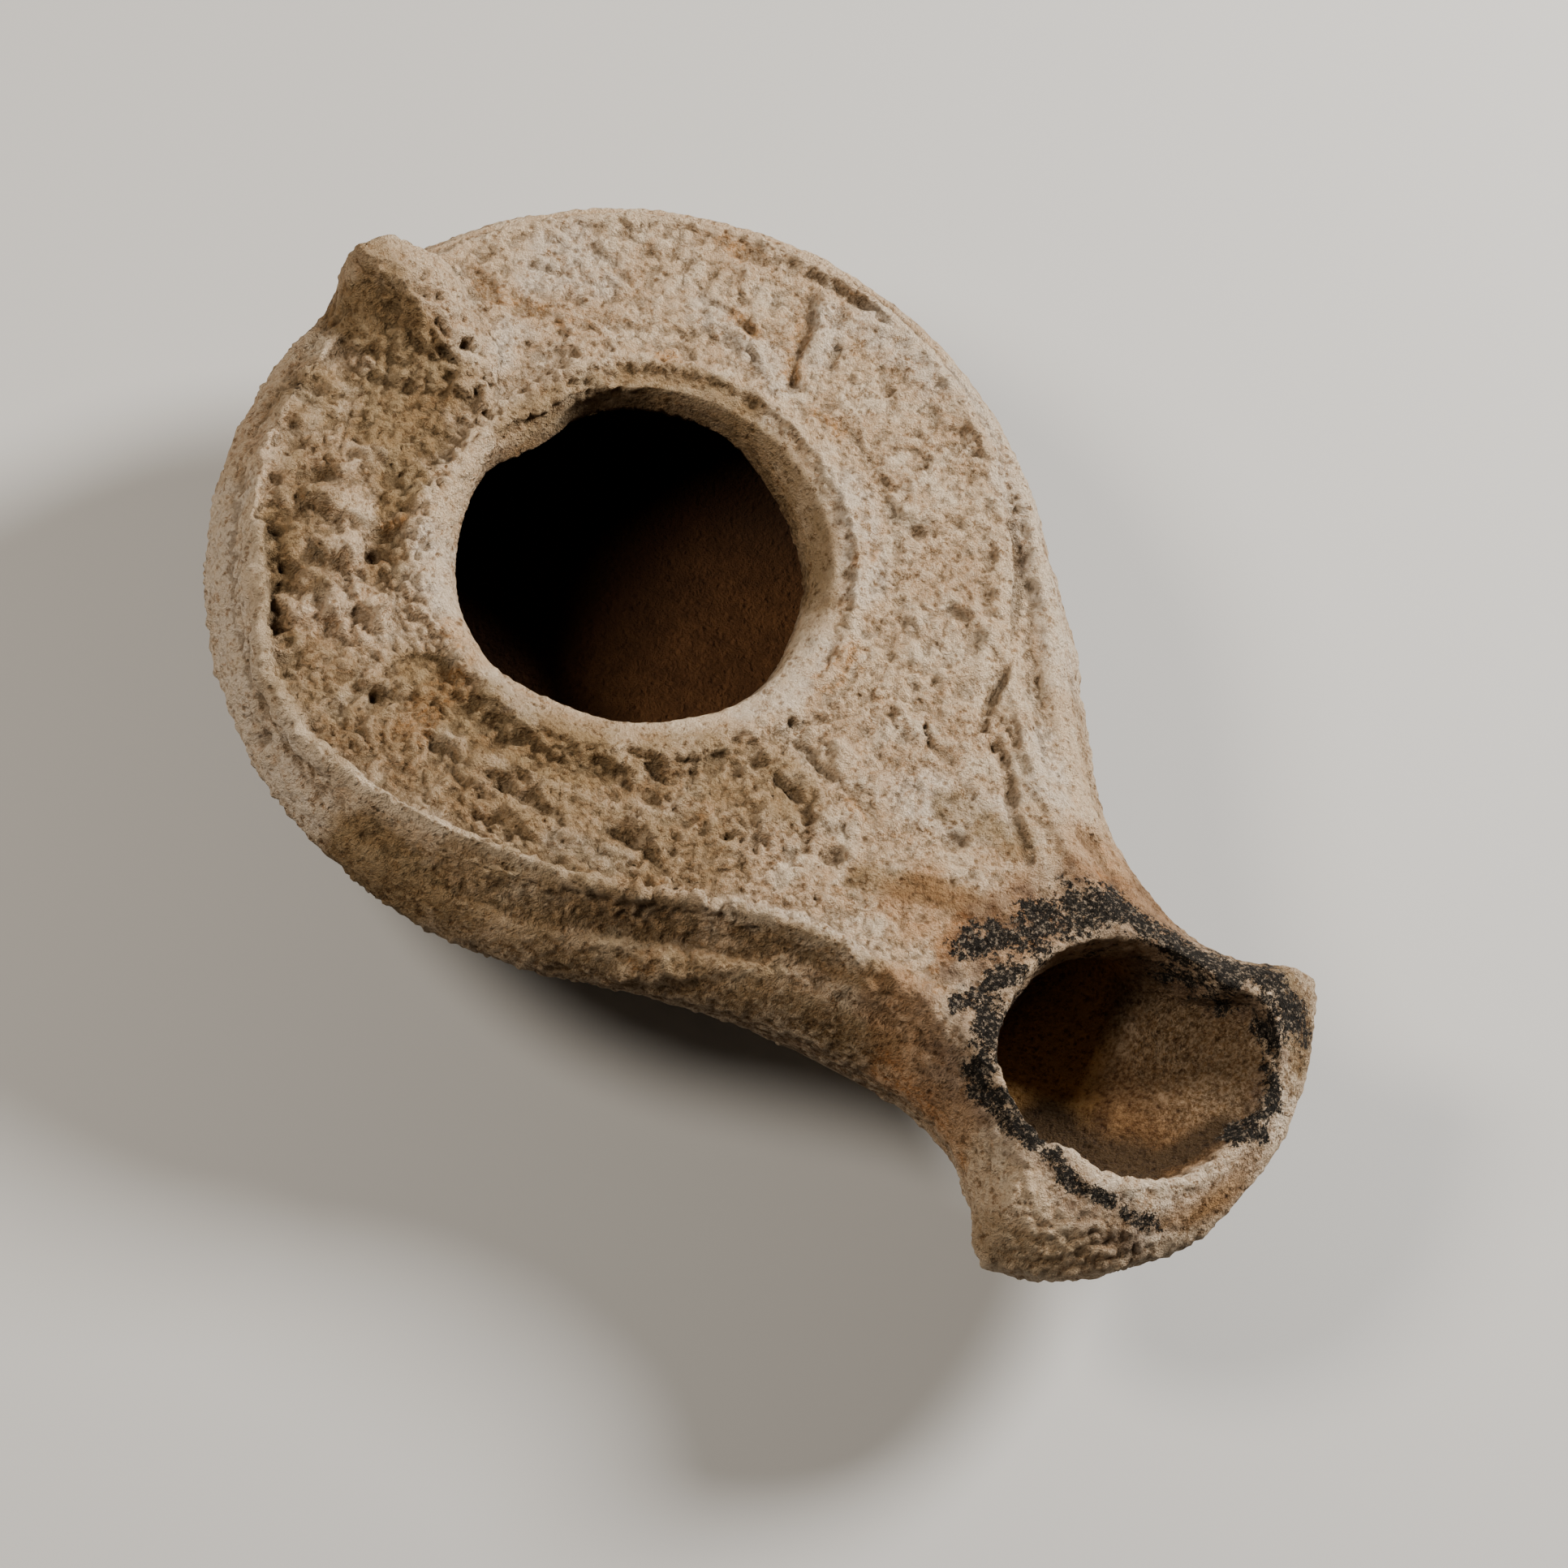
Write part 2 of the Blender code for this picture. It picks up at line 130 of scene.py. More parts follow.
# worn strokes on the top, each (half width, height, points); a groove has a height below nought
strokes = [
    # border on the left: the ridge, its worn end, the grooves and the seam below
    (0.6, 0.8, leftRidge),
    (0.65, 0.55, [(-18.2, -19.0), (-16.6, -20.7), (-15.1, -22.3)]),
    (0.8, 0.35, [(-15.1, -22.3), (-12.8, -24.9), (-10.9, -27.9), (-9.4, -31.3)]),
    (1.0, -0.75, [(-18.0, 19.4), (-20.4, 16.4), (-22.2, 14.4), (-23.6, 12.6), (-24.8, 9.6)]),
    (1.2, -0.35, borderGroove),
    (0.8, 0.35, [(-21.4, -21.8), (-19.3, -23.7), (-15.8, -26.8), (-13.4, -29.3), (-11.2, -32.8),
                 (-9.2, -36.5)]),
    # border groove on the right
    (0.5, -0.4, [(22.5, 13.6), (24.2, 11.0), (26.0, 8.0), (26.4, 5.8), (27.3, 3.0)]),
    (0.4, -0.35, [(25.2, -10.4), (24.2, -12.6), (23.1, -15.0)]),
    (0.5, -0.7, [(23.1, -15.0), (21.6, -17.4), (19.4, -19.6), (17.0, -21.6), (15.2, -23.0), (13.4, -23.8),
                 (11.4, -24.6), (9.8, -25.6)]),
    (0.8, 0.3, [(21.6, -15.4), (19.6, -17.8), (17.2, -19.8), (15.0, -21.4), (12.6, -22.6)]),
    (0.55, -0.6, [(9.6, -27.4), (8.8, -29.4), (7.2, -31.2), (6.2, -33.0), (5.2, -35.2)]),
    # scroll marks, front left
    (0.5, -0.5, [(-4.6, -17.2), (-4.1, -19.0), (-4.1, -21.0), (-4.6, -22.6), (-5.8, -23.6)]),
    (0.9, 0.4, [(-3.3, -17.0), (-2.6, -19.0), (-2.6, -21.2), (-3.5, -23.4)]),
    (0.45, -0.45, [(-1.5, -16.9), (-0.9, -18.5), (-1.2, -20.2), (-1.0, -21.8), (-0.8, -23.2)]),
    (1.0, 0.3, [(0.6, -17.6), (0.5, -19.4), (0.4, -21.6)]),
    (0.6, -0.45, [(-8.9, -21.6), (-8.4, -23.0), (-7.5, -24.1)]),
    (0.6, -0.6, [(-10.9, -10.8), (-10.6, -12.0), (-10.0, -13.2), (-8.6, -14.0)]),
    (0.8, 0.6, [(-12.2, -10.8), (-11.5, -12.2)]),
    (0.55, -0.5, [(-12.0, -13.9), (-11.6, -15.2), (-11.4, -17.2)]),
    (0.55, -0.5, [(-15.5, -14.8), (-15.2, -16.6), (-15.3, -18.6)]),
    (0.45, -0.4, [(-17.6, -14.2), (-16.2, -14.2), (-15.6, -15.0)]),
    (0.8, 0.45, [(-13.9, -15.0), (-13.5, -17.0)]),
    (0.9, 0.55, [(-19.4, -4.0), (-18.0, -5.4), (-17.0, -7.0), (-16.4, -8.8), (-15.2, -10.4)]),
    (0.55, -0.5, [(-19.4, -5.6), (-19.2, -7.4), (-18.4, -9.8)]),
    (0.5, 0.4, [(-20.2, -8.2), (-20.1, -9.8)]),
    (0.55, -0.45, [(-22.6, -7.2), (-21.9, -9.0), (-20.9, -10.4)]),
    (0.3, -0.3, [(-5.8, -25.0), (-3.2, -24.7)]),
    (0.25, -0.22, [(0.2, -26.2), (1.5, -25.5), (3.0, -24.9), (5.2, -24.2)]),
    (0.3, -0.5, [(6.8, -22.8), (6.2, -24.0), (5.9, -25.4), (6.3, -26.0)]),
    # scroll marks, back left
    (1.2, 0.65, [(-14.5, 19.2), (-13.2, 17.2), (-12.6, 15.2)]),
    (0.8, 0.55, [(-21.7, 14.2), (-21.6, 12.6)]),
    (1.0, 0.6, [(-19.0, 14.4), (-18.7, 12.8), (-19.4, 11.2)]),
    (1.3, 0.65, [(-15.9, 14.6), (-15.2, 13.6)]),
    (0.7, -0.6, [(-20.6, 15.2), (-19.4, 15.6), (-17.6, 15.2), (-17.0, 13.6), (-17.2, 12.2)]),
    (0.6, -0.65, [(-20.9, 10.1), (-19.2, 10.2), (-18.2, 9.0)]),
    (0.7, 0.5, [(-20.0, 9.6), (-18.8, 11.0)]),
    (1.1, 0.55, [(-17.4, 8.2), (-16.4, 9.8), (-16.9, 11.2)]),
    (0.9, -0.6, [(-16.2, 10.4), (-15.4, 11.8), (-14.5, 12.9), (-12.8, 13.3)]),
    (0.5, -0.5, [(-22.2, 5.2), (-21.7, 3.9), (-20.5, 3.5)]),
    (0.6, 0.45, [(-21.4, 5.4), (-20.6, 4.4)]),
    (0.4, 0.3, [(-25.2, 1.6), (-24.8, 3.4), (-23.6, 4.6), (-22.4, 4.6)]),
    (0.4, 0.3, [(-24.2, 1.4), (-23.8, 2.6), (-22.8, 3.2)]),
    (0.55, -0.5, [(-19.6, 5.3), (-18.2, 4.9), (-16.7, 4.2), (-16.4, 3.0)]),
    (0.6, -0.55, [(-14.0, 20.4), (-12.7, 19.7), (-11.9, 18.4), (-10.7, 17.8)]),
    (0.6, -0.45, [(-17.4, -0.4), (-16.8, -2.4), (-17.2, -4.0)]),
    (0.6, 0.4, [(-20.4, -0.6), (-19.8, -2.6), (-20.6, -4.2)]),
    (0.5, -0.4, [(-20.6, -2.9), (-20.2, -3.5)]),
    # scroll marks, front right
    (0.45, -0.35, [(-1.3, -16.6), (0.2, -16.9), (1.3, -17.6)]),
    (0.5, -0.3, [(5.0, -17.0), (5.1, -18.2)]),
    (0.7, -0.35, [(4.9, -18.8), (3.6, -19.6), (2.6, -20.4)]),
    (0.5, -0.3, [(5.6, -20.2), (5.4, -21.6), (4.6, -22.6)]),
    (0.8, 0.35, [(6.4, -20.8), (6.2, -22.4)]),
    (0.45, -0.4, [(9.4, -14.9), (8.6, -15.1), (8.8, -17.2)]),
    (0.6, 0.35, [(15.2, -16.4), (16.0, -18.4), (15.0, -20.8), (12.8, -21.8), (10.6, -21.0), (9.8, -19.0),
                 (10.6, -17.2)]),
    (0.5, -0.3, [(14.6, -17.4), (15.0, -19.4), (13.8, -20.6)]),
    (0.35, -0.35, [(11.3, -16.0), (10.8, -17.2)]),
    (0.45, -0.45, [(16.8, -10.6), (17.8, -12.3)]),
    (0.4, -0.3, [(18.2, -6.6), (18.2, -8.6)]),
    (0.4, -0.3, [(20.6, -7.6), (21.6, -7.8)]),
    (0.55, 0.3, [(20.4, -9.6), (21.8, -8.0), (22.0, -6.0), (20.6, -4.6)]),
    (0.6, 0.3, [(17.6, -9.4), (18.6, -10.8), (20.4, -11.2)]),
    (0.45, -0.4, [(23.0, -2.2), (23.6, -1.0), (24.2, 0.0)]),
    # scroll marks, back right
    (0.9, 0.4, [(17.2, 12.6), (17.9, 10.2), (18.3, 7.6), (18.1, 5.2), (17.6, 3.6)]),
    (0.55, 0.3, [(17.6, 13.6), (18.8, 14.4), (20.2, 14.9)]),
    (0.45, -0.45, [(20.6, 13.9), (18.9, 13.2), (17.8, 12.4), (18.6, 11.6), (18.9, 10.0), (19.0, 8.4)]),
    (0.55, -0.5, [(18.4, 3.4), (19.4, 4.4), (20.8, 5.2), (22.4, 6.0), (24.0, 7.8)]),
    (0.8, 0.4, [(20.4, 3.2), (21.8, 4.4), (23.4, 5.0), (25.0, 6.4)]),
    (0.4, -0.35, [(21.0, 2.2), (21.9, 2.8), (22.9, 3.2)]),
    (0.4, 0.25, [(15.6, 21.0), (16.0, 19.0), (15.6, 17.0), (14.8, 16.0)]),
    (0.4, -0.25, [(14.6, 21.0), (15.0, 18.8), (14.8, 16.8)]),
    (0.4, -0.2, [(17.1, 20.4), (17.3, 18.4), (17.0, 16.4)]),
    (0.5, 0.25, [(9.6, 20.8), (9.8, 18.8), (11.4, 17.4), (13.0, 17.6)]),
    (0.45, -0.35, [(10.4, 22.7), (11.0, 21.8), (11.5, 20.9)]),
    (0.35, -0.3, [(10.2, 20.0), (10.5, 19.2)]),
    (0.8, -0.22, [(6.5, 25.0), (6.7, 22.0), (7.8, 19.8), (8.7, 18.2)]),
    # ragged inner edge of the lip
    (0.9, 0.2, [(-8.8, -53.4), (-7.6, -55.4), (-5.8, -57.0), (-3.2, -58.8), (-0.4, -59.8), (3.4, -60.0)]),
]

# single pits and lumps on the top, each (x, y, radius, height)
spots = [
    (-29.2, 7.9, 0.9, -0.8), (-28.3, 9.3, 1.0, -0.5), (-30.5, 3.2, 0.6, -0.4), (-28.9, 5.9, 0.7, -0.3),
    (-15.8, 21.4, 0.6, -0.5), (-13.3, 20.0, 0.7, -0.5), (-11.2, 18.8, 1.1, 0.5), (-8.7, 18.9, 1.3, 0.45),
    (-16.2, 20.2, 1.0, 0.4), (-14.2, 22.0, 1.2, 0.35), (-14.5, 12.8, 0.8, -0.6), (-10.6, 12.0, 1.0, 0.3),
    (-12.6, 23.4, 1.9, -0.45), (-8.8, 26.4, 1.9, -0.5), (-6.6, 27.0, 1.3, -0.4), (-23.8, 13.2, 0.8, -0.5),
    (-21.7, 15.4, 0.7, -0.4), (-20.4, 9.3, 0.7, -0.4), (-21.6, 4.3, 0.6, -0.5), (-17.0, 8.9, 0.9, 0.3),
    (-5.2, -25.8, 1.0, -0.95), (-3.6, -26.0, 1.0, 0.25), (2.0, -30.6, 0.95, -1.0),
    (-10.6, -26.4, 0.35, -0.3), (-8.4, -27.5, 0.4, -0.3), (-8.5, -29.2, 0.45, -0.3),
    (-0.9, -28.9, 0.3, -0.25), (4.2, -28.0, 0.35, -0.3), (1.4, -33.2, 0.4, -0.35),
    (-2.3, -31.0, 0.35, -0.2), (7.1, -29.7, 0.5, -0.4), (9.4, -27.2, 0.6, -0.4), (-6.3, -20.9, 1.9, 0.45),
    (-8.9, -22.7, 0.7, 0.4), (-10.2, -20.0, 0.6, -0.4), (-9.3, -20.7, 0.5, -0.35),
    (-9.3, -13.4, 0.9, 0.4), (-13.0, -9.0, 0.7, -0.4), (-12.1, -10.4, 0.5, -0.4),
    (-13.0, -17.4, 0.5, -0.4), (-19.3, -6.6, 0.6, -0.4), (-18.9, -8.3, 0.7, -0.4),
    (-22.0, -8.3, 0.6, -0.4), (-21.8, -9.8, 0.5, -0.4), (1.6, -20.6, 1.6, 0.25), (12.8, -19.2, 1.4, 0.35),
    (8.4, -20.0, 0.35, -0.35), (9.1, -21.8, 0.5, -0.35), (15.1, -12.8, 0.45, -0.4),
    (15.9, -13.2, 0.4, -0.35), (13.5, -12.6, 0.35, -0.3), (17.2, -11.2, 0.6, -0.35),
    (14.8, -25.8, 0.5, -0.3), (18.0, -23.7, 0.35, -0.25), (18.2, 3.0, 0.7, -0.5), (24.1, 5.4, 0.3, -0.3),
    (22.4, 16.3, 0.35, -0.3), (15.0, 4.2, 0.8, -0.45), (19.6, -0.8, 0.8, 0.25), (23.4, -1.4, 0.5, -0.4),
    (19.2, -5.2, 0.3, -0.3), (21.4, -6.6, 0.5, -0.3), (12.4, 19.0, 1.6, 0.3), (13.4, 22.0, 1.6, 0.25),
    (21.6, 11.4, 1.4, 0.3), (20.4, 9.0, 1.0, 0.2), (3.6, 30.0, 0.35, -0.35), (0.3, 18.4, 0.5, -0.4),
    (1.2, 19.9, 0.6, -0.4), (-0.4, 20.6, 0.5, -0.35), (5.7, 18.2, 0.5, -0.3),
]


def skinArrays(obj):
    count = len(obj.data.vertices)
    place = np.empty(count * 3)
    facing = np.empty(count * 3)
    obj.data.vertices.foreach_get("co", place)
    obj.data.vertex_normals.foreach_get("vector", facing)
    return place.reshape(-1, 3) / mm, facing.reshape(-1, 3)


def setPlaces(obj, place):
    obj.data.vertices.foreach_set("co", (place * mm).ravel())
    obj.data.update()


def edgeEnds(obj):
    ends = np.empty(len(obj.data.edges) * 2, dtype=np.int32)
    obj.data.edges.foreach_get("vertices", ends)
    return ends[0::2], ends[1::2]


def neighbourMean(ends, values, passes=1):
    a, b = ends
    count = len(values)
    degree = np.bincount(a, minlength=count) + np.bincount(b, minlength=count)
    for k in range(passes):
        total = np.empty_like(values)
        for axis in range(values.shape[1]):
            total[:, axis] = np.bincount(a, values[b, axis], count) + np.bincount(b, values[a, axis], count)
        values = total / np.maximum(degree, 1)[:, None]
    return values


def soften(obj, place, passes):
    # rounds the steps off without shrinking walls and edges
    ends = edgeEnds(obj)
    for k in range(passes):
        place = place + 0.5 * (neighbourMean(ends, place) - place)
        place = place - 0.52 * (neighbourMean(ends, place) - place)
    return place


def fromWick(x, y):
    # distance from the middle of the wick hole, as if it were round
    return np.hypot(x * wickHole["narrow"], y - wickHole["middle"])


def pastCrease(x, y):
    # how far a place in the wick hole is past the crease where its floor starts to rise
    across, along = wickHole["creaseRun"]
    return x * across + (y - wickHole["crease"]) * along


def fromHandle(x):
    return np.abs(x - lampSkin["handleMiddle"])


def strokeDistance(xy, points):
    best = np.full(len(xy), 1e9)
    for a, b in zip(points, points[1:]):
        a, b = np.array(a), np.array(b)
        run = b - a
        t = np.clip(((xy - a) @ run) / (run @ run), 0.0, 1.0)
        best = np.minimum(best, np.hypot(*(xy - a - t[:, None] * run).T))
    return best


def rimHeight(r):
    # the collar round the filling hole, over the flat of the shoulder
    return np.interp(r, [12.9, 13.6, 14.3, 15.2, 16.4, 17.7, 19.6], [0.0, 0.35, 0.5, 0.2, -0.6, -0.7, 0.0])


def carve(obj):
    place, facing = skinArrays(obj)
    x, y, z = place.T
    r = np.hypot(x, y)

    # flatten the plain rings, but not the handle or the border
    flat = lampSkin["shoulder"]
    base = flat["height"] + rimHeight(r)
    outer = flat["outer"] + 1.8 * smoothStep(5.0, 9.0, x) * smoothStep(-5.0, -9.0, y)
    ring = smoothStep(flat["inner"], flat["inner"] + 0.8, r) * (1 - smoothStep(outer - 0.6, outer, r))
    ring *= (z > flat["height"] - 1.2) & (facing[:, 2] > -0.1)
    ring *= 1 - smoothStep(8.4, 7.2, np.abs(x)) * (y > 0)
    raised = np.maximum(z - base, 0.0)
    place[:, 2] = z - raised * ring * (1 - flat["keep"])
    return place


def relief(place, facing):
    # the strokes and spots, torn by noise
    top = smoothStep(0.1, 0.45, facing[:, 2]) * (place[:, 2] > 16.8)
    index = np.nonzero(top > 0)[0]
    xy = place[index][:, :2]
    wobble = roughNoise(place[index], 1.2, 3, 3) * 0.5
    tear = np.clip(0.8 + 1.3 * roughNoise(place[index], 1.8, 3, 8), 0.0, 1.4)
    lift = np.zeros(len(index))
    for halfWidth, height, points in strokes:
        # the long strokes are the border's, which is less torn
        border = len(points) > 7
        d = strokeDistance(xy, points) + wobble * min(1.0, halfWidth * 1.2) * (0.45 if border else 1.0)
        worn = 0.7 + 0.3 * tear if border else tear
        if height < 0 and points[0][0] < -8 and not border:
            # grooves on the left are shallow troughs
            height, halfWidth = height * 0.62, halfWidth * 1.35
        lift += height * worn * (1 - smoothStep(halfWidth * 0.2, halfWidth * 1.25, d))
    for sx, sy, radius, height in spots:
        d = np.hypot(xy[:, 0] - sx, xy[:, 1] - sy) + wobble * min(1.0, radius)
        lift += height * 0.85 * tear * (1 - smoothStep(radius * 0.2, radius * 1.25, d))
    full = np.zeros(len(place))
    full[index] = lift * top[index] * (0.85 + 0.5 * smoothStep(6.0, -12.0, xy[:, 0]))
    return full


wear = {
    # how crumbly each region is: nought is smooth, one is the worn shoulder
    "shoulder": 0.95, "shoulderLeft": 0.6, "walls": 0.3, "wallsLeft": 0.4, "lip": 0.32,
    "handleRight": 0.3, "handleLeft": 0.8, "brokenRim": 0.5,
    # how much of it is taken away on the handle's tip, at the wick hole's left edge and on the collar
    "tip": 0.7, "wickEdge": 0.85, "collar": 0.85,
    # height of the noise where the clay is smooth, and what a crumbly place adds
    "rolling": (0.10, 0.14), "crumb": (0.06, 0.42), "pit": (0.06, 0.34), "streak": 1.1,
}


def grain(place, facing):
    # crumbly on the worn shoulder and the handle, finer on the walls and round the nozzle
    x, y, z = place.T
    rough = smoothStep(19.5, 21.5, z) * smoothStep(-40.0, -24.0, y) * smoothStep(0.2, 0.6, facing[:, 2])
    handle = smoothStep(15.5, 17.5, y) * smoothStep(8.4, 6.4, fromHandle(x)) * (z > 21.5)
    handle *= 1 - wear["tip"] * smoothStep(28.0, 30.0, y)
    rough = np.maximum(rough, handle * (wear["handleRight"] + wear["handleLeft"] * smoothStep(3.4, -1.0, x)))
    rough = np.maximum(rough, wear["lip"] * smoothStep(-50.0, -56.0, y) * smoothStep(16.0, 18.0, z))
    turn = np.degrees(np.arctan2(y, x))
    brokenRim = smoothStep(17.0, 16.2, np.hypot(x, y)) * smoothStep(20.5, 21.5, z) * smoothStep(25, 60, turn)
    rough *= 0.6 + 0.4 * smoothStep(0.6, 2.0, strokeDistance(place[:, :2], borderGroove))
    walls = wear["walls"] + wear["wallsLeft"] * smoothStep(2.0, -6.0, x)
    walls = walls * smoothStep(11.0, 15.0, z) * (facing[:, 2] > -0.5)
    rough = np.maximum(rough * (wear["shoulder"] + wear["shoulderLeft"] * smoothStep(8.0, -14.0, x)), walls)
    rough += wear["brokenRim"] * brokenRim * smoothStep(150, 120, turn)
    wickEdge = smoothStep(10.8, 9.8, fromWick(x, y)) * smoothStep(-4.0, -6.0, x)
    rough *= 1 - wear["wickEdge"] * wickEdge * smoothStep(-52.0, -49.0, y)
    # the collar round the filling hole is smooth but for its broken edge
    smooth = smoothStep(15.6, 14.4, np.hypot(x, y)) * (z > 15.0)
    rough *= 1 - wear["collar"] * smooth * (1 - brokenRim * smoothStep(150, 120, turn))

    # round crumbs with sharp creases between them, and pits
    crumb = 0.45 * (np.abs(softNoise(place, 1.5, 40)) - 0.25) + np.abs(softNoise(place, 0.8, 41)) - 0.25
    rolling, crumbly, pitted = (wear[k][0] + wear[k][1] * rough for k in ("rolling", "crumb", "pit"))
    height = roughNoise(place, 3.4, 2, 21) * rolling
    height += crumb * crumbly
    height += np.minimum(softNoise(place, 1.0, 52) + 0.3, 0.0) * pitted
    # worn streaks down the left side of the handle
    streaks = np.maximum(softNoise(place * (1.0, 0.45, 1.0), 0.75, 66) + 0.15, 0.0)
    streaks = wear["streak"] * streaks * handle
    height -= streaks * smoothStep(3.0, 1.2, np.abs(x - 0.6)) * smoothStep(27.5, 25.0, y)
    return height


def isInside(place, facing):
    # inner walls face up below the widest line, and down above it
    z = place[:, 2]
    below = (z < 16.2) & (facing[:, 2] > 0.02) & (np.hypot(place[:, 0], place[:, 1]) < 28.5)
    above = (z > 17.4) & (facing[:, 2] < -0.05) & (z < 20.8)
    nozzleFloor = (z < 15.6) & (facing[:, 2] > 0.02) & (place[:, 1] < -20) & (place[:, 1] > -45.0)
    return below | above | nozzleFloor


def isPlain(place, facing):
    return isInside(place, facing) | ((place[:, 2] < 13.0) & (facing[:, 2] < 0.1))


def triangleCount(obj):
    return sum(len(p.vertices) - 2 for p in obj.data.polygons)


def thinPlainSides(obj):
    # fewer faces inside and underneath, where the clay is plain
    place, facing = skinArrays(obj)
    plain = isPlain(place, facing)
    side = ~plain & ((place[:, 2] < 17.0) | (facing[:, 2] < -0.2))
    group = obj.vertex_groups.new(name="plain")
    for name, chosen in (("plain", plain), ("side", side), ("top", ~plain & ~side)):
        group.add(np.nonzero(chosen)[0].tolist(), lampSkin["thinning"][name], "REPLACE")
    before = triangleCount(obj)
    applyModifier(obj, "DECIMATE", ratio=lampSkin["triangleLimit"] / before, vertex_group="plain",
                  vertex_group_factor=1.0)
    plain = isPlain(*skinArrays(obj))
    print("triangles", before, "to", triangleCount(obj), "plain", plain.sum(), "rest", (~plain).sum())


flank = {
    # how far the right flank stands out along a line, past an old chip, and the edge above it
    "start": (24.9, -18.0), "run": (-0.473, -0.881), "out": (0.881, -0.473),
    "along": [0, 3, 7.5, 9.4, 10.3, 12.0, 13.6, 16.0, 18.5, 21.5],
    "amount": [0, 0.6, 1.35, 1.35, 1.05, 1.2, 1.25, 0.8, 0.45, 0],
    "edge": [(27.9, -6.0), (26.9, -10.8), (25.4, -15.3), (20.9, -20.9), (17.4, -25.6), (14.2, -29.7),
             (12.0, -32.6), (10.6, -35.0)],
    # how much the edge is filled out all along, and more toward the nozzle
    "filled": (0.2, 1.05),
}

nozzleEnd = {"corner": (14.0, -53.8), "cornerOut": 0.6, "lipOut": 0.5}


def swell(place):
    # the right flank stands out, and the edge above it is filled out toward the nozzle
    x, y, z = place.T
    reach = place[:, :2] - np.array(flank["start"])
    along = reach @ np.array(flank["run"])
    out = reach @ np.array(flank["out"])
    amount = np.interp(along, flank["along"], flank["amount"]) * (along > 0)
    amount *= smoothStep(-4.5, -0.8, out) * smoothStep(13.5, 17.0, z) * smoothStep(23.0, 20.5, z)
    moved = place + np.outer(amount, [*flank["out"], 0.0])
    d = strokeDistance(place[:, :2], flank["edge"])
    allAlong, forward = flank["filled"]
    filled = allAlong + forward * smoothStep(-6.5, -13.5, y)
    moved[:, 2] += filled * (1 - smoothStep(0.2, 2.1, d)) * smoothStep(18.6, 19.8, z)
    # the nozzle's right corner is a little longer, and so is the left of its lip
    cornerX, cornerY = nozzleEnd["corner"]
    corner = np.hypot(x - cornerX, y - cornerY)
    moved[:, 0] += nozzleEnd["cornerOut"] * smoothStep(5.0, 0.5, corner) * smoothStep(9.0, 17.0, z)
    front = smoothStep(-54.0, -58.0, y) * smoothStep(3.0, -3.0, x)
    moved[:, 1] -= nozzleEnd["lipOut"] * front * smoothStep(8.0, 12.0, z)
    return moved


handleShape = {
    # along the handle: the crest's height above the shoulder, how much of its top is worn off,
    # how far it leans to the right and how full its right side is
    "along": [16.2, 18.0, 20.5, 23.5, 26.5, 29.0, 30.0, 30.7, 31.3],
    "height": [0.25, 1.0, 2.1, 3.4, 4.9, 6.0, 5.8, 4.2, 0.2],
    "worn": [0.0, 0.0, 0.0, 0.1, 0.3, 0.75, 0.8, 0.6, 0.0],
    "lean": [0.9, 1.3, 1.7, 1.65, 1.1, 0.25, 0.1, 0.0, 0.0],
    "fullness": [0.0, 0.2, 0.4, 0.6, 0.9, 1.2, 1.2, 0.8, 0.0],
}


def shapeHandle(place):
    # the lug's crest leans to the right, with a steep left side and a full right one
    x, y, z = place.T
    height, lean, fullness, worn = (np.interp(y, handleShape["along"], handleShape[k], left=0, right=0)
                                    for k in ("height", "lean", "fullness", "worn"))
    above = z - lampSkin["shoulder"]["height"]
    share = np.clip(above / np.maximum(height, 0.4), 0.0, 1.1) * (height > 0.3)
    near = smoothStep(8.4, 6.4, fromHandle(x))
    crest = -0.4 + lean
    moved = place.copy()
    tip = smoothStep(22.5, 26.5, y)
    moved[:, 0] += lean * (smoothStep(0.08, 0.6, share) * tip + np.minimum(share, 1.0) * (1 - tip)) * near
    beside = moved[:, 0] - crest
    steeper = np.minimum(beside, 0.0) * -0.3 * smoothStep(0.3, 0.7, share) * tip
    full = fullness * smoothStep(-0.2, 1.2, beside)
    full = full * smoothStep(0.05, 0.4, share) * smoothStep(1.2, 0.8, share)
    moved[:, 0] += (steeper + full) * near
    moved[:, 2] -= worn * smoothStep(0.45, 1.0, share) * near
    return moved


fillingHole = {
    # the hole's edge by turn: reach, height, and height of the ledge above it
    "turn": [-180, -150, -120, -90, -60, -30, 0, 20, 45, 75, 100, 120, 150, 180],
    "reach": [13.0, 12.2, 12.0, 12.1, 12.15, 12.25, 12.55, 13.35, 13.75, 13.35, 13.3, 12.8, 13.0, 13.0],
    "edge": [21.25, 21.25, 21.2, 20.9, 20.3, 19.9, 19.8, 19.8, 19.8, 20.1, 21.0, 21.25, 21.25, 21.25],
    "ledge": [22.3, 22.3, 22.2, 22.1, 21.95, 21.85, 21.9, 22.0, 22.1, 22.1, 22.2, 22.3, 22.3, 22.3],
    "ledgeReach": 14.2,
    # the collar outside the ledge, on the right, on the left and at the upper left
    "span": [14.2, 14.7, 15.3, 15.8, 16.3, 16.9, 17.5, 18.2, 19.2],
    "right": [21.9, 22.0, 22.25, 22.7, 22.65, 22.3, 22.15, 22.1, 22.1],
    "left": [22.3, 22.5, 22.55, 22.35, 22.0, 21.7, 21.7, 21.9, 22.1],
    "upperLeft": [22.3, 22.45, 22.5, 22.5, 22.45, 22.35, 22.15, 21.9, 22.0],
}


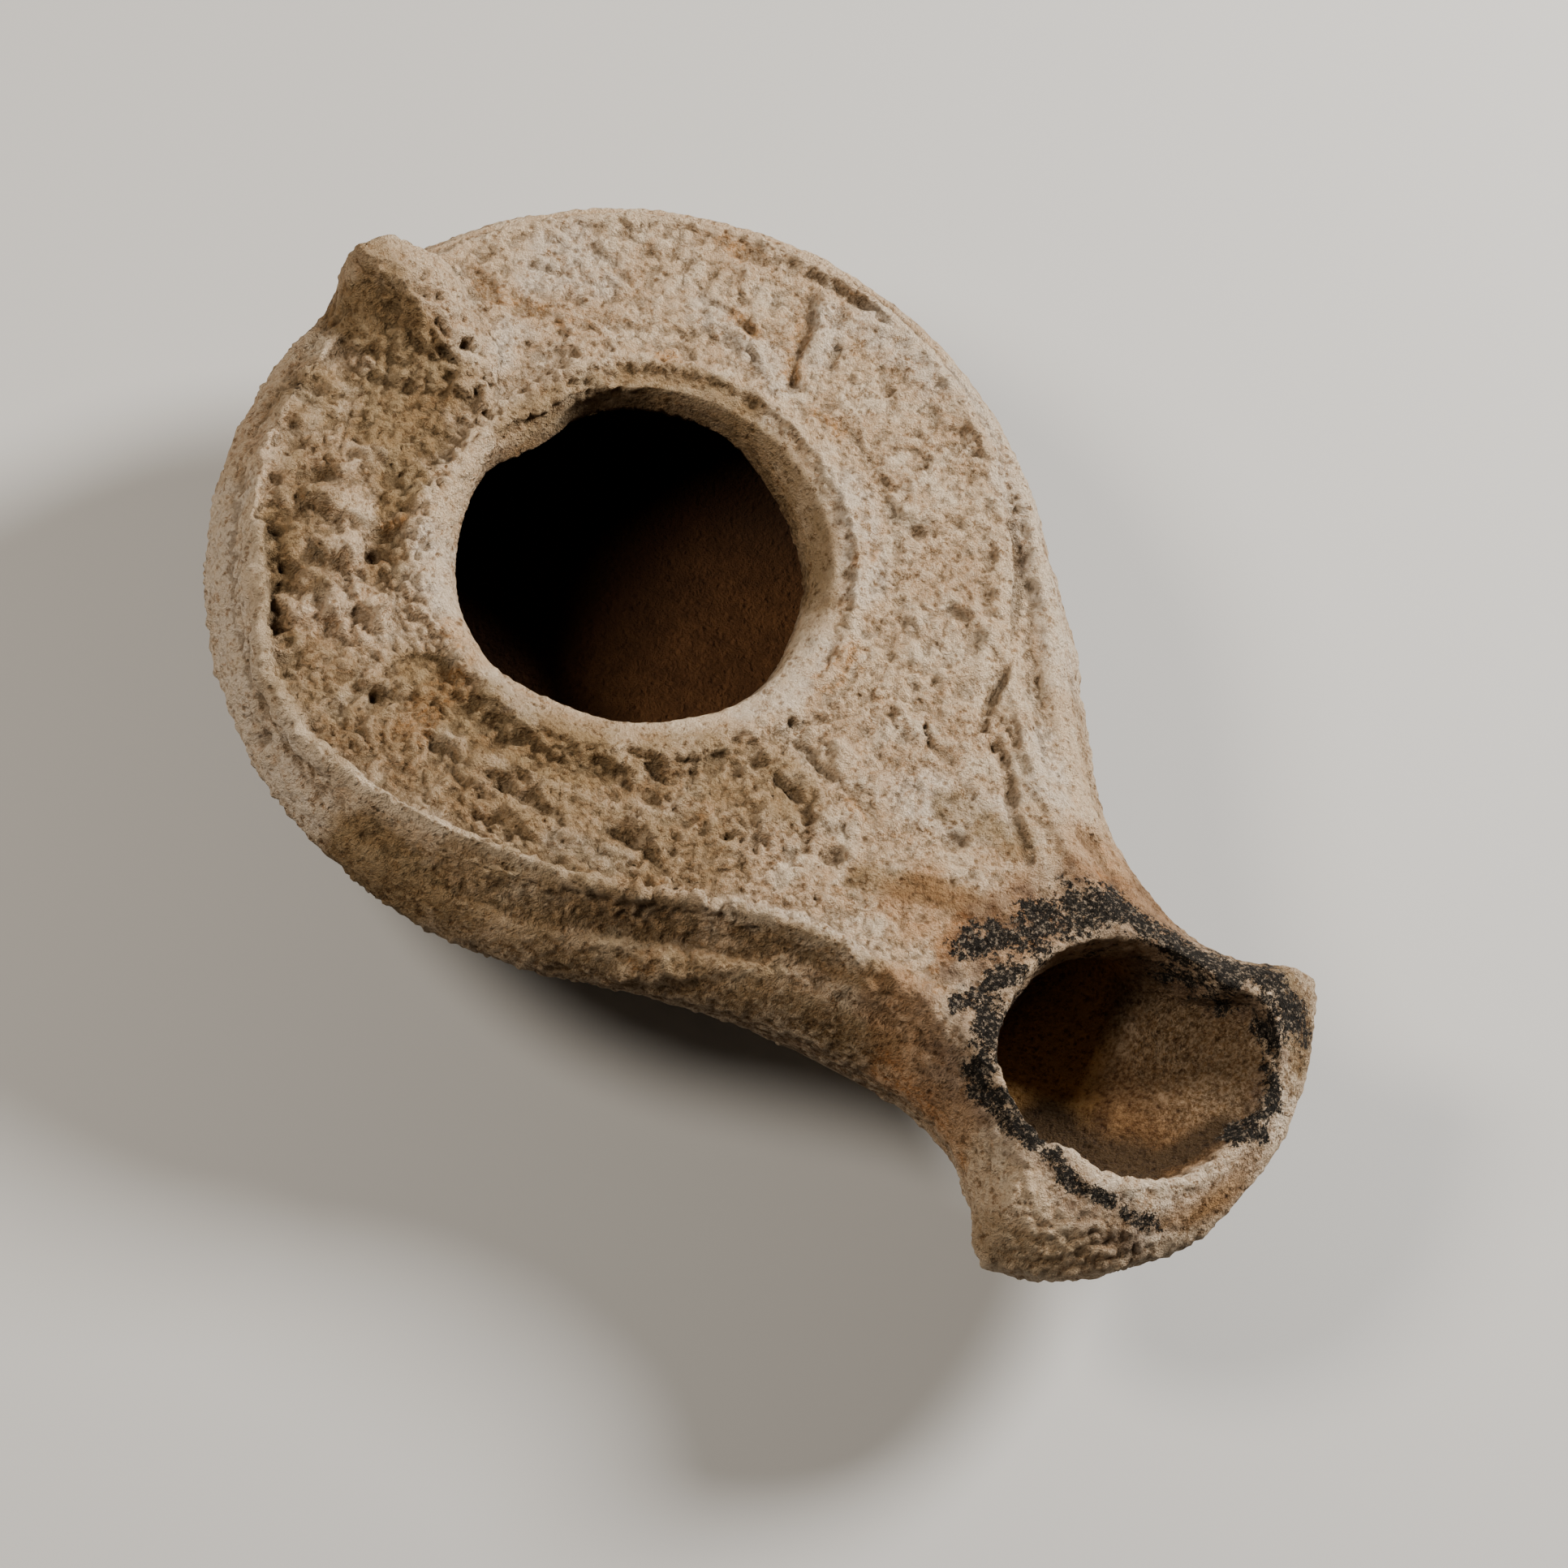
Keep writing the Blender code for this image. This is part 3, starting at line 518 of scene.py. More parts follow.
def shapeCollar(place, facing):
    # the filling hole's collar slopes in like a funnel, up to a worn crest
    x, y, z = place.T
    r = np.hypot(x, y)
    turn = np.degrees(np.arctan2(y, x))
    hole = fillingHole
    reach, edge, ledge = (np.interp(turn, hole["turn"], hole[k]) for k in ("reach", "edge", "ledge"))

    # mean height by distance, as packed
    plain = (facing[:, 2] > 0.4) & (z > 20.2) & ((y < 14) | (fromHandle(x) > 8))
    bins = np.arange(12.6, 19.8, 0.3)
    found = [plain & (np.abs(r - b) < 0.2) for b in bins]
    known = [(b, z[k].mean()) for b, k in zip(bins, found) if k.sum() > 20]
    base = np.interp(r, [b for b, k in known], [k for b, k in known])

    pull = (reach - 12.8) * (1 - smoothStep(13.0, 14.4, r)) * smoothStep(16.5, 18.5, z) * (r < 15)
    newR = r + pull
    share = np.clip((newR - reach) / (hole["ledgeReach"] - reach), 0, 1)
    funnel = edge + (ledge - edge) * share
    right, left, upperLeft = (np.interp(newR, hole["span"], hole[k]) for k in ("right", "left", "upperLeft"))
    toUpper = smoothStep(82.0, 100.0, turn) * smoothStep(172.0, 152.0, turn)
    toRight = smoothStep(-110.0, -60.0, turn) * smoothStep(100.0, 75.0, turn)
    outer = right * toRight + (1 - toRight) * (upperLeft * toUpper + left * (1 - toUpper))
    target = np.where(newR < hole["ledgeReach"], funnel, outer)
    share = np.clip((z - 17.4) / 3.6, 0, 1) * smoothStep(19.4, 18.2, r)
    share *= 1 - smoothStep(7.8, 6.4, fromHandle(x)) * smoothStep(14.2, 15.6, y)
    moved = place.copy()
    moved[:, :2] *= (newR / np.maximum(r, 1.0))[:, None]
    moved[:, 2] += (target - base) * share
    return moved


def shapeWickHole(place, facing):
    # the hole is a little narrower on the left
    x, y, z = place.T
    moved = place.copy()
    inward = smoothStep(-10.8, -9.4, x) * smoothStep(-6.4, -8.4, x) * smoothStep(-42.0, -48.5, y)
    inward *= smoothStep(-56.5, -53.0, y) * smoothStep(16.0, 18.5, z)
    moved[:, 0] += wickHole["drawnIn"] * inward

    # inside it the clay rises to the front right from a crease
    forward, right, curl = wickHole["slopes"]
    ramp = wickHole["floor"] + forward * np.maximum(wickHole["crease"] - y, 0.0)
    ramp += right * np.maximum(x - 2.0, 0.0)
    ramp += curl * np.maximum(x - 5.0, 0.0) ** 2 * smoothStep(-45.0, -50.0, y)
    lift = wickHole["rise"] * np.maximum(ramp - z, 0.0) * (z < 18.5) * (facing[:, 2] > -0.3) * (z > 9.2)
    lift *= smoothStep(12.4, 11.6, fromWick(x, y))
    beyond = pastCrease(x, y)
    lift *= smoothStep(-2.6, 1.2, beyond) * smoothStep(-41.0, -44.5, y) * smoothStep(-60.0, -58.5, y)
    moved[:, 2] += lift
    return moved


def smoothWickHole(obj):
    # the ramp in the hole meets its walls softly
    place, facing = skinArrays(obj)
    x, y, z = place.T
    within = smoothStep(12.2, 11.6, fromWick(x, y)) * smoothStep(19.0, 17.0, z) * smoothStep(8.8, 9.6, z)
    smoothed = neighbourMean(edgeEnds(obj), place, lampSkin["wickSmoothing"])
    setPlaces(obj, place + (smoothed - place) * within[:, None])


def makeLamp():
    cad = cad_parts["oil_lamp"]
    skin = cad.copy()
    skin.data = cad.data.copy()
    skin.name = skin.data.name = "lampSkin"
    skin.parent = None
    bpy.context.scene.collection.objects.link(skin)
    makeActive(skin)
    bpy.ops.object.mode_set(mode="EDIT")
    bpy.ops.mesh.select_all(action="SELECT")
    bpy.ops.mesh.remove_doubles(threshold=0.000002)
    bpy.ops.mesh.normals_make_consistent(inside=False)
    bpy.ops.mesh.customdata_custom_splitnormals_clear()
    bpy.ops.object.mode_set(mode="OBJECT")
    applyModifier(skin, "REMESH", mode="VOXEL", voxel_size=lampSkin["voxel"] * mm)
    print("skin", len(skin.data.vertices))

    setPlaces(skin, shapeHandle(swell(soften(skin, carve(skin), lampSkin["softenPasses"]))))
    place, facing = skinArrays(skin)
    setPlaces(skin, shapeWickHole(shapeCollar(place, facing), facing))
    smoothWickHole(skin)

    # relief and grain stand out from the skin, and nothing goes below the foot
    place, facing = skinArrays(skin)
    lift = relief(place, facing)
    place = place + facing * (lift + grain(place, facing))[:, None]
    place[:, 2] = np.maximum(place[:, 2], 0.0)
    setPlaces(skin, place)
    thinPlainSides(skin)
    bpy.ops.object.shade_smooth()
    return skin


skin = makeLamp()
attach(skin, "root")
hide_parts("oil_lamp")
print("lamp carved")


# patches on the clay, each (radius, points)
patches = {
    "soot": [
        (1.3, [(-2.4, -37.0), (-0.6, -38.0), (1.2, -39.4)]),
        (1.8, [(0.6, -39.2), (3.0, -39.3), (5.2, -40.2), (6.8, -41.6)]),
        (0.8, [(-6.4, -39.9), (-3.6, -40.3), (-1.2, -40.6)]),
        (1.1, [(-4.4, -41.4), (-6.2, -42.8), (-8.0, -44.2)]),
        (1.0, [(7.4, -42.6), (8.6, -44.6), (9.3, -46.6), (9.8, -48.4)]),
        (0.8, [(-8.9, -45.0), (-9.1, -48.0), (-9.1, -50.6)]),
        (0.45, [(-8.3, -46.4), (-8.5, -49.6)]),
        (0.7, [(-9.0, -52.4), (-9.0, -54.8)]),
        (0.45, [(-8.8, -55.2), (-7.6, -57.0)]),
        (0.5, [(-7.0, -58.4), (-5.6, -60.2)]),
        (1.5, [(10.4, -49.2), (11.8, -51.2), (13.2, -53.2)]),
        (1.6, [(12.8, -53.6), (12.4, -55.6)]),
        (0.7, [(8.8, -57.2), (7.0, -59.2)]),
        (0.9, [(3.4, -59.0), (5.2, -59.8)]),
    ],
    "innerSoot": [
        (1.1, [(5.6, -41.6), (8.0, -43.2), (9.4, -45.4), (9.9, -48.4), (10.4, -51.0)]),
        (0.7, [(10.4, -54.6), (9.6, -56.6)]),
        (0.6, [(3.6, -58.4), (5.6, -59.2)]),
    ],
    # painted shade in the wick hole, at the lower left and under the lip
    "shade": [
        (3.0, [(-4.2, -48.6), (-4.6, -53.0), (-3.2, -55.4)]),
        (1.2, [(-3.0, -55.8), (0.0, -57.2), (3.4, -57.8)]),
    ],
    "smoke": [
        (3.0, [(-8.6, -42.4), (-6.0, -39.8), (-0.6, -37.8), (4.6, -38.8), (8.0, -42.4)]),
        (2.2, [(8.6, -44.0), (10.2, -49.0), (12.4, -54.0)]),
        (1.6, [(-9.6, -44.0), (-9.6, -50.0), (-9.2, -56.0), (-7.6, -59.6)]),
        (1.0, [(6.4, -58.4), (9.6, -57.0)]),
    ],
    # grime and painted shade, on the left shoulder and walls, round the handle and round the neck
    "grimeAndShade": [
        (3.0, [(-9.4, 25.0), (-6.0, 21.4), (-4.8, 18.0)]),
        (1.6, [(-8.4, 15.8), (-11.6, 13.8), (-14.8, 10.6)]),
        (2.4, [(-12.6, 21.2), (-16.4, 18.4), (-19.0, 14.6)]),
        (1.8, [(-18.4, 3.2), (-17.8, -0.4), (-16.6, -3.6)]),
        (4.0, [(-24.0, 8.0), (-23.4, 1.0), (-21.6, -4.4), (-19.6, -9.0), (-17.0, -14.2), (-12.0, -19.4)]),
        (3.6, [(-18.6, 2.6), (-16.0, -5.6), (-12.2, -11.0), (-7.6, -15.0), (-5.0, -20.0)]),
        (1.4, [(-22.6, -9.6), (-19.6, -14.6), (-16.4, -19.0)]),
        (1.6, [(0.4, 13.6), (3.6, 13.6), (7.0, 12.2)]),
        (1.2, [(9.4, 11.6), (12.8, 8.2), (14.6, 4.0)]),
        (1.3, [(-5.0, -28.4), (-1.2, -33.0), (0.4, -36.8)]),
        (1.6, [(3.8, -28.6), (5.4, -33.4)]),
        (1.2, [(-13.6, -25.4), (-11.0, -30.0), (-9.2, -35.0)]),
        (2.4, [(-3.0, 28.0), (-2.0, 25.0), (-1.4, 21.6), (-1.0, 18.4)]),
        (1.5, [(8.3, -10.3), (11.4, -6.6), (13.0, -2.3), (13.3, 1.2), (12.4, 4.6), (10.8, 7.8), (7.8, 10.6)]),
        (1.4, [(-26.0, -8.4), (-23.0, -14.0), (-19.4, -19.0), (-16.6, -22.6)]),
        (1.4, [(-24.4, -14.4), (-21.0, -19.8), (-17.6, -24.4)]),
        (1.4, [(13.6, -51.6), (13.4, -54.8), (11.4, -57.8)]),
        (2.2, [(-30.0, -2.4), (-28.4, -8.0), (-25.6, -14.0), (-22.0, -19.4), (-18.0, -24.6), (-15.0, -29.0)]),
        (1.2, [(-14.6, -30.0), (-13.0, -34.6), (-11.6, -38.4)]),
    ],
    # more grime and painted shade where it is darkest
    "grimierAndShade": [
        (3.0, [(-0.8, 29.2), (-1.4, 25.6), (-4.0, 20.5), (-8.6, 16.6)]),
        (1.8, [(-17.8, 3.4), (-17.4, -1.5), (-16.2, -5.5), (-13.8, -9.5)]),
        (1.4, [(-18.0, 19.4), (-20.4, 16.4), (-22.2, 14.4), (-23.6, 12.6)]),
        (1.4, [(-15.6, -51.0), (-14.6, -55.4), (-11.0, -59.0)]),
        (2.0, [(-30.0, -3.0), (-28.6, -8.0)]),
    ],
    "warm": [
        (3.4, [(-3.0, -33.0), (-1.0, -37.0), (2.0, -38.0)]),
        (2.6, [(-9.4, -36.6), (-11.2, -41.0), (-11.8, -45.0)]),
        (3.0, [(9.0, -38.0), (9.8, -43.0)]),
    ],
    "pale": [
        (1.3, [(-28.6, 10.6), (-29.6, 6.0), (-30.0, 1.0)]),
        (1.2, [(-6.4, -59.8), (-3.0, -60.6), (0.6, -61.2)]),
        (1.1, [(-7.4, -53.4), (-5.8, -56.4), (-3.0, -58.6), (0.6, -60.0), (4.0, -60.4)]),
        (1.2, [(3.0, -61.2), (8.0, -59.6)]),
        (0.8, [(-8.0, -55.4), (-5.6, -58.0)]),
        (1.0, [(-13.2, -24.6), (-10.8, -28.6), (-9.0, -32.6)]),
        (1.6, [(-1.6, -13.8), (2.6, -14.2), (5.6, -13.6)]),
        (1.4, [(17.6, 12.0), (18.0, 8.0), (17.8, 4.2)]),
        (1.6, [(21.4, 4.0), (24.0, 5.4)]),
        (2.2, [(10.8, 21.6), (13.4, 21.6), (13.2, 19.0)]),
        (1.4, [(3.6, 18.6), (5.6, 19.4)]),
        (1.6, [(-10.4, 10.6), (-13.2, 6.0)]),
        (1.2, [(-15.0, -1.0), (-14.6, -4.0)]),
        (1.6, [(18.0, -26.0), (22.0, -20.4), (26.0, -12.0)]),
        (1.6, [(15.6, -6.0), (14.0, -8.8), (10.8, -12.0)]),
        (2.0, [(26.6, -3.0), (27.0, 3.0)]),
        (1.6, [(28.6, -4.0), (27.4, -10.4), (25.0, -16.0)]),
        (1.8, [(-18.6, 23.4), (-22.6, 19.8), (-25.6, 15.8), (-28.0, 11.4)]),
        (1.2, [(-19.4, -12.6), (-17.4, -16.4)]),
        (2.4, [(3.0, -27.0), (5.0, -31.0)]),
        (1.6, [(10.0, -33.0), (12.4, -29.0)]),
    ],
    "ochre": [
        (1.5, [(-21.4, 0.6), (-18.6, 1.8), (-16.6, 1.6)]),
        (1.2, [(-13.8, 2.0), (-14.2, 4.6)]),
        (0.6, [(-10.1, -17.6), (-9.6, -17.3)]),
        (0.9, [(-18.6, -18.0), (-16.8, -19.2)]),
        (0.8, [(6.6, 24.6), (6.8, 21.6), (8.3, 19.4), (8.8, 18.0)]),
        (0.8, [(19.0, 10.0), (19.0, 8.4)]),
        (0.8, [(18.9, 3.8), (20.4, 5.0), (22.4, 6.0)]),
        (0.7, [(18.0, 0.4), (18.4, -1.8)]),
        (0.8, [(22.6, 15.0), (22.8, 13.4)]),
        (0.9, [(7.0, -14.8), (3.6, -15.8)]),
        (0.7, [(12.2, -10.4), (13.6, -10.2)]),
        (0.8, [(12.6, 12.0), (12.8, 10.2)]),
        (0.6, [(-12.0, 13.6), (-11.0, 13.2)]),
        (0.5, [(-1.4, -23.4), (-1.6, -25.0)]),
        (0.8, [(-7.6, -38.0), (-4.4, -36.4), (-1.6, -35.4)]),
        (1.0, [(-12.0, -39.0), (-12.0, -43.0), (-13.4, -48.0)]),
        (1.0, [(7.4, -38.0), (9.4, -41.0)]),
        (0.8, [(-20.4, -22.0), (-19.6, -22.8)]),
    ],
}


def patchShare(place, shapes, tatter, seed, low=0.5, high=1.3):
    # ragged patches, from nought outside to one inside
    torn = roughNoise(place, 2.4, 4, seed) * tatter
    share = np.zeros(len(place))
    for radius, points in shapes:
        d = strokeDistance(place[:, :2], points) / radius + torn
        share = np.maximum(share, 1 - smoothStep(low, high, d))
    return share


def paintMask(obj, name, values):
    layer = obj.data.attributes.new(name, "FLOAT", "POINT")
    layer.data.foreach_set("value", values.astype(np.float32))


# how far round a place is smoothed to find its pits and dips, and how deep a full one is
hollows = {"pitPasses": 6, "pitDepth": 0.05, "dipPasses": 38, "dipDepth": 0.25}


def paintLamp(obj):
    place, facing = skinArrays(obj)
    ends = edgeEnds(obj)
    fine = neighbourMean(ends, place, hollows["pitPasses"])
    broad = neighbourMean(ends, fine, hollows["dipPasses"])
    paintMask(obj, "pit", np.clip(((fine - place) * facing).sum(axis=1) / hollows["pitDepth"], -1, 1))
    paintMask(obj, "dip", np.clip(((broad - place) * facing).sum(axis=1) / hollows["dipDepth"], -1, 1))

    # the inside, an oil-stained lining, with painted shade over its back half
    x, y, z = place.T
    inside = neighbourMean(ends, isInside(place, facing).astype(float)[:, None], 3)[:, 0]
    paintMask(obj, "inside", inside * smoothStep(-45.0, -39.0, y))
    paintMask(obj, "oilStainAndShade", smoothStep(-3.5, 3.5, y + 0.3 * x + 3.0 * roughNoise(place, 6.0, 3, 77)))

    # patches that lie on the top
    onTop = smoothStep(15.0, 17.5, z)
    paintMask(obj, "soot", patchShare(place, patches["soot"], 0.5, 61, 0.1, 1.7) * onTop)
    # grime and painted shade
    grimeAndShadeCover = patchShare(place, patches["grimeAndShade"], 0.45, 99)
    grimeAndShadeCover = grimeAndShadeCover + 0.8 * patchShare(place, patches["grimierAndShade"], 0.5, 105)
    paintMask(obj, "grimeAndShade", grimeAndShadeCover * onTop)
    for name, tatter, seed in (("pale", 0.8, 73), ("ochre", 0.9, 87), ("smoke", 0.5, 95), ("warm", 0.6, 103)):
        paintMask(obj, name, patchShare(place, patches[name], tatter, seed) * onTop)
    crest = (1 - smoothStep(0.2, 0.9, strokeDistance(place[:, :2], leftRidge))) * onTop
    paintMask(obj, "crest", crest * smoothStep(-20.0, -14.0, y))

    # the wick hole: burnt clay with painted shade, darker toward the left; charred clay behind the crease,
    # painted lighter to stand in for bounce light there; painted shade at the lower left and under the lip;
    # soot on its edge
    inHole = smoothStep(12.4, 11.4, fromWick(x, y)) * smoothStep(19.2, 17.4, z) * (z > 8.6)
    paintMask(obj, "burntAndShade", inHole * (0.35 + 0.65 * smoothStep(6.0, -1.0, x)) * (facing[:, 2] > -0.3))
    beyond = pastCrease(x, y) + 0.8 * roughNoise(place, 2.0, 2, 71)
    paintMask(obj, "charAndPaintedBounce", inHole * smoothStep(0.2, -1.8, beyond))
    paintMask(obj, "shade", inHole * patchShare(place, patches["shade"], 0.3, 69))
    lining = smoothStep(15.5, 17.5, z)
    paintMask(obj, "innerSoot", patchShare(place, patches["innerSoot"], 0.5, 67, 0.1, 1.6) * lining)

    # painted shade on the walls
    paintMask(obj, "wall", wallShare(place, inside))
    print("painted", len(place))


def wallShare(place, inside):
    # painted shade: the walls are painted darker, less so at the back left, on the right of the neck and at
    # the nozzle's left
    x, y, z = place.T
    wall = (1 - smoothStep(17.2, 20.4, z + roughNoise(place, 5.0, 3, 91) * 1.6)) * (1 - inside)
    torn = y + 5.0 * roughNoise(place, 5.0, 3, 117)
    paler = smoothStep(-13.0, -19.0, x) * smoothStep(-3.0, 8.0, torn)
    paler = np.maximum(paler, smoothStep(-1.5, -5.0, x) * (y > 16.0))
    paler = np.maximum(paler, 0.5 * smoothStep(9.0, 15.0, x) * smoothStep(-44.0, -38.0, y))
    wall *= 1 - 0.95 * paler * smoothStep(10.0, 14.0, z)
    return wall * (1 - 0.75 * smoothStep(-8.0, -10.0, x) * smoothStep(-38.0, -47.0, y))


paintLamp(skin)


clay = {
    "buff": (0.53, 0.38, 0.24),
    "tan": (0.42, 0.275, 0.16),
    "cream": (0.62, 0.50, 0.365),
    "slip": (0.60, 0.50, 0.40),
    "ochre": (0.42, 0.22, 0.085),
    # dirt, also painted shade in the hollows
    "dirtAndHollowShade": (0.085, 0.052, 0.022),
    # painted shade on the walls
    "wall": (0.155, 0.09, 0.037),
    "soot": (0.011, 0.009, 0.007),
    "sootAsh": (0.20, 0.16, 0.12),
    "smoke": (0.13, 0.085, 0.06),
    # grime and painted shade, multiplied in
    "grimeAndShade": (0.5, 0.445, 0.34),
    "pore": (0.38, 0.29, 0.20),
    # oil stain, also painted shade inside
    "warm": (0.78, 0.66, 0.56),
    # burnt clay with painted shade
    "burntAndShade": (0.50, 0.36, 0.22),
    # charred clay, painted lighter to stand in for bounce light
    "charAndPaintedBounce": (0.45, 0.25, 0.09),
    # painted shade
    "shade": (0.055, 0.032, 0.014),
    "inside": (0.15, 0.068, 0.026),
    "oilStainAndShade": (0.035, 0.014, 0.005),
    "roughness": 0.93,
    "gloss": 0.15,
    "bumpDepth": 0.7,
}


def clayMaterial():
    mat = bpy.data.materials.new("wornClay")
    mat.use_nodes = True
    nodes, links = mat.node_tree.nodes, mat.node_tree.links
    shader = nodes["Principled BSDF"]
    place = nodes.new("ShaderNodeTexCoord").outputs["Object"]

    def plug(value, socket):
        if hasattr(value, "links"):
            links.new(value, socket)
        elif isinstance(value, tuple):
            socket.default_value = (*value, 1.0)
        else:
            socket.default_value = value

    def speckle(size, detail=4.0, rough=0.6):
        node = nodes.new("ShaderNodeTexNoise")
        links.new(place, node.inputs["Vector"])
        node.inputs["Scale"].default_value = 1 / (size * mm)
        node.inputs["Detail"].default_value = detail
        node.inputs["Roughness"].default_value = rough
        return node.outputs["Fac"]

    def dots(size):
        node = nodes.new("ShaderNodeTexVoronoi")
        links.new(place, node.inputs["Vector"])
        node.inputs["Scale"].default_value = 1 / (size * mm)
        return node.outputs["Distance"]

    def between(value, low, high, start=0.0, end=1.0):
        node = nodes.new("ShaderNodeMapRange")
        node.interpolation_type = "SMOOTHSTEP"
        plug(value, node.inputs["Value"])
        for name, number in (("From Min", low), ("From Max", high), ("To Min", start), ("To Max", end)):
            node.inputs[name].default_value = number
        return node.outputs["Result"]

    def sums(kind, a, b):
        node = nodes.new("ShaderNodeMath")
        node.operation = kind
        plug(a, node.inputs[0])
        plug(b, node.inputs[1])
        return node.outputs["Value"]

    def blend(share, under, over, kind="MIX"):
        node = nodes.new("ShaderNodeMix")
        node.data_type = "RGBA"
        node.blend_type = kind
        plug(share, node.inputs["Factor"])
        plug(under, node.inputs["A"])
        plug(over, node.inputs["B"])
        return node.outputs["Result"]

    def mask(name):
        node = nodes.new("ShaderNodeAttribute")
        node.attribute_name = name
        return node.outputs["Fac"]

    # crumbs and pores finer than the mesh, which catch dirt
    folds = sums("ABSOLUTE", sums("SUBTRACT", speckle(0.65, 3.0, 0.7), 0.5), 0.0)
    height = sums("ADD", speckle(0.45, 5.0, 0.75), sums("MULTIPLY", between(dots(0.7), 0.05, 0.45), 0.35))
    height = sums("ADD", height, sums("MULTIPLY", folds, 1.6))
    height = sums("ADD", height, sums("MULTIPLY", speckle(0.17, 2.0, 0.6), 0.3))

    # buff clay, blotched with tan and cream
    colour = blend(between(speckle(7.0, 5.0), 0.38, 0.62), clay["buff"], clay["tan"])
    colour = blend(between(speckle(3.0, 6.0, 0.7), 0.48, 0.66), colour, clay["cream"])
    colour = blend(between(speckle(0.9, 4.0, 0.75), 0.52, 0.72, 0, 0.5), colour, clay["ochre"])
    # painted shade: the walls darker than the top
    colour = blend(mask("wall"), colour, clay["wall"])

    # slip left on the high places, rust-coloured stains, the rubbed ridge on the left
    slip = sums("MULTIPLY", mask("pale"), between(speckle(1.4, 6.0, 0.7), 0.3, 0.6))
    colour = blend(slip, colour, clay["slip"])
    rust = sums("MULTIPLY", mask("ochre"), between(speckle(1.6, 6.0, 0.7), 0.3, 0.6))
    colour = blend(rust, colour, clay["ochre"])
    colour = blend(sums("MULTIPLY", mask("crest"), 0.7), colour, clay["cream"])

    # dirt and painted shade in the hollows, rubbed crests
    deep = sums("ADD", mask("dip"), sums("MULTIPLY", mask("pit"), 0.6))
    deep = sums("ADD", deep, between(speckle(0.6, 4.0, 0.7), 0.3, 0.7, -0.3, 0.3))
    colour = blend(between(deep, 0.1, 1.2, 0, 0.6), colour, clay["dirtAndHollowShade"])
    colour = blend(between(deep, -0.2, -1.2, 0, 0.4), colour, clay["cream"])

    # grains of sand, dark specks
    colour = blend(between(dots(0.6), 0.15, 0.06, 0, 0.4), colour, clay["dirtAndHollowShade"])
    colour = blend(between(speckle(0.28, 2.0), 0.3, 0.7, 0.0, 0.35), colour, clay["cream"])

    # grime and painted shade on the left, round the handle and round the neck, heat-reddened clay, burnt wick
    # hole with painted shade
    grimeAndShadeAmount = sums("MULTIPLY", mask("grimeAndShade"), between(speckle(2.2, 6.0, 0.7), 0.25, 0.6, 0.45, 1.0))
    colour = blend(sums("MULTIPLY", grimeAndShadeAmount, 0.9), colour, clay["grimeAndShade"], "MULTIPLY")
    colour = blend(mask("warm"), colour, clay["warm"], "MULTIPLY")
    colour = blend(mask("burntAndShade"), colour, clay["burntAndShade"], "MULTIPLY")
    # charred clay painted lighter to stand in for bounce light, then painted shade at the lower left and
    # under the lip
    colour = blend(mask("charAndPaintedBounce"), colour, clay["charAndPaintedBounce"])
    colour = blend(mask("shade"), colour, clay["shade"])

    # smoke stain, then soot in specks, thickest round the wick hole
    smoky = sums("MULTIPLY", mask("smoke"), between(speckle(1.8, 6.0, 0.75), 0.32, 0.64, 0.1, 0.75))
    colour = blend(smoky, colour, clay["smoke"])
    sooty = sums("MAXIMUM", mask("soot"), mask("innerSoot"))
    soot = sums("MULTIPLY", sooty, 1.4)
    soot = sums("ADD", soot, between(speckle(0.45, 5.0, 0.85), 0.34, 0.66, -0.65, 0.65))
    soot = sums("ADD", soot, between(speckle(1.7, 4.0, 0.7), 0.35, 0.65, -0.6, 0.5))
    black = blend(between(speckle(0.32, 4.0, 0.8), 0.52, 0.62), clay["soot"], clay["sootAsh"])
    soot = sums("MULTIPLY", between(soot, 0.45, 0.75), between(sooty, 0.0, 0.2))
    colour = blend(soot, colour, black)

    # darker pores and pits, which are few in the burnt, shaded hole, and scales on the walls
    colour = blend(between(height, 0.6, 1.1, 0.8, 0), colour, clay["pore"], "MULTIPLY")
    patchy = between(speckle(2.5, 3.0), 0.35, 0.6, 0.3, 0.9)
    pits = sums("MULTIPLY", between(speckle(0.7, 5.0, 0.8), 0.47, 0.36), patchy)
    pits = sums("MULTIPLY", pits, between(mask("burntAndShade"), 0.0, 1.0, 1.0, 0.3))
    colour = blend(pits, colour, clay["pore"], "MULTIPLY")
    onWalls = between(mask("wall"), 0.0, 0.6, 0.1, 0.8)
    scaly = sums("MULTIPLY", between(speckle(0.5, 4.0, 0.8), 0.5, 0.36), onWalls)
    colour = blend(scaly, colour, clay["pore"], "MULTIPLY")

    # the oil-stained inside, with painted shade over its back half
    lining = blend(mask("oilStainAndShade"), clay["inside"], clay["oilStainAndShade"])
    lining = blend(between(speckle(2.0, 5.0, 0.7), 0.35, 0.65, 0, 0.5), lining, clay["oilStainAndShade"])
    colour = blend(mask("inside"), colour, lining)
    links.new(colour, shader.inputs["Base Color"])
    shader.inputs["Roughness"].default_value = clay["roughness"]
    shader.inputs["Specular IOR Level"].default_value = clay["gloss"]

    # grain finer than the mesh
    bump = nodes.new("ShaderNodeBump")
    bump.inputs["Strength"].default_value = 1.0
    bump.inputs["Distance"].default_value = clay["bumpDepth"] * mm
    links.new(height, bump.inputs["Height"])
    links.new(bump.outputs["Normal"], shader.inputs["Normal"])
    return mat


skin.data.materials.clear()
skin.data.materials.append(clayMaterial())
print("clay made")


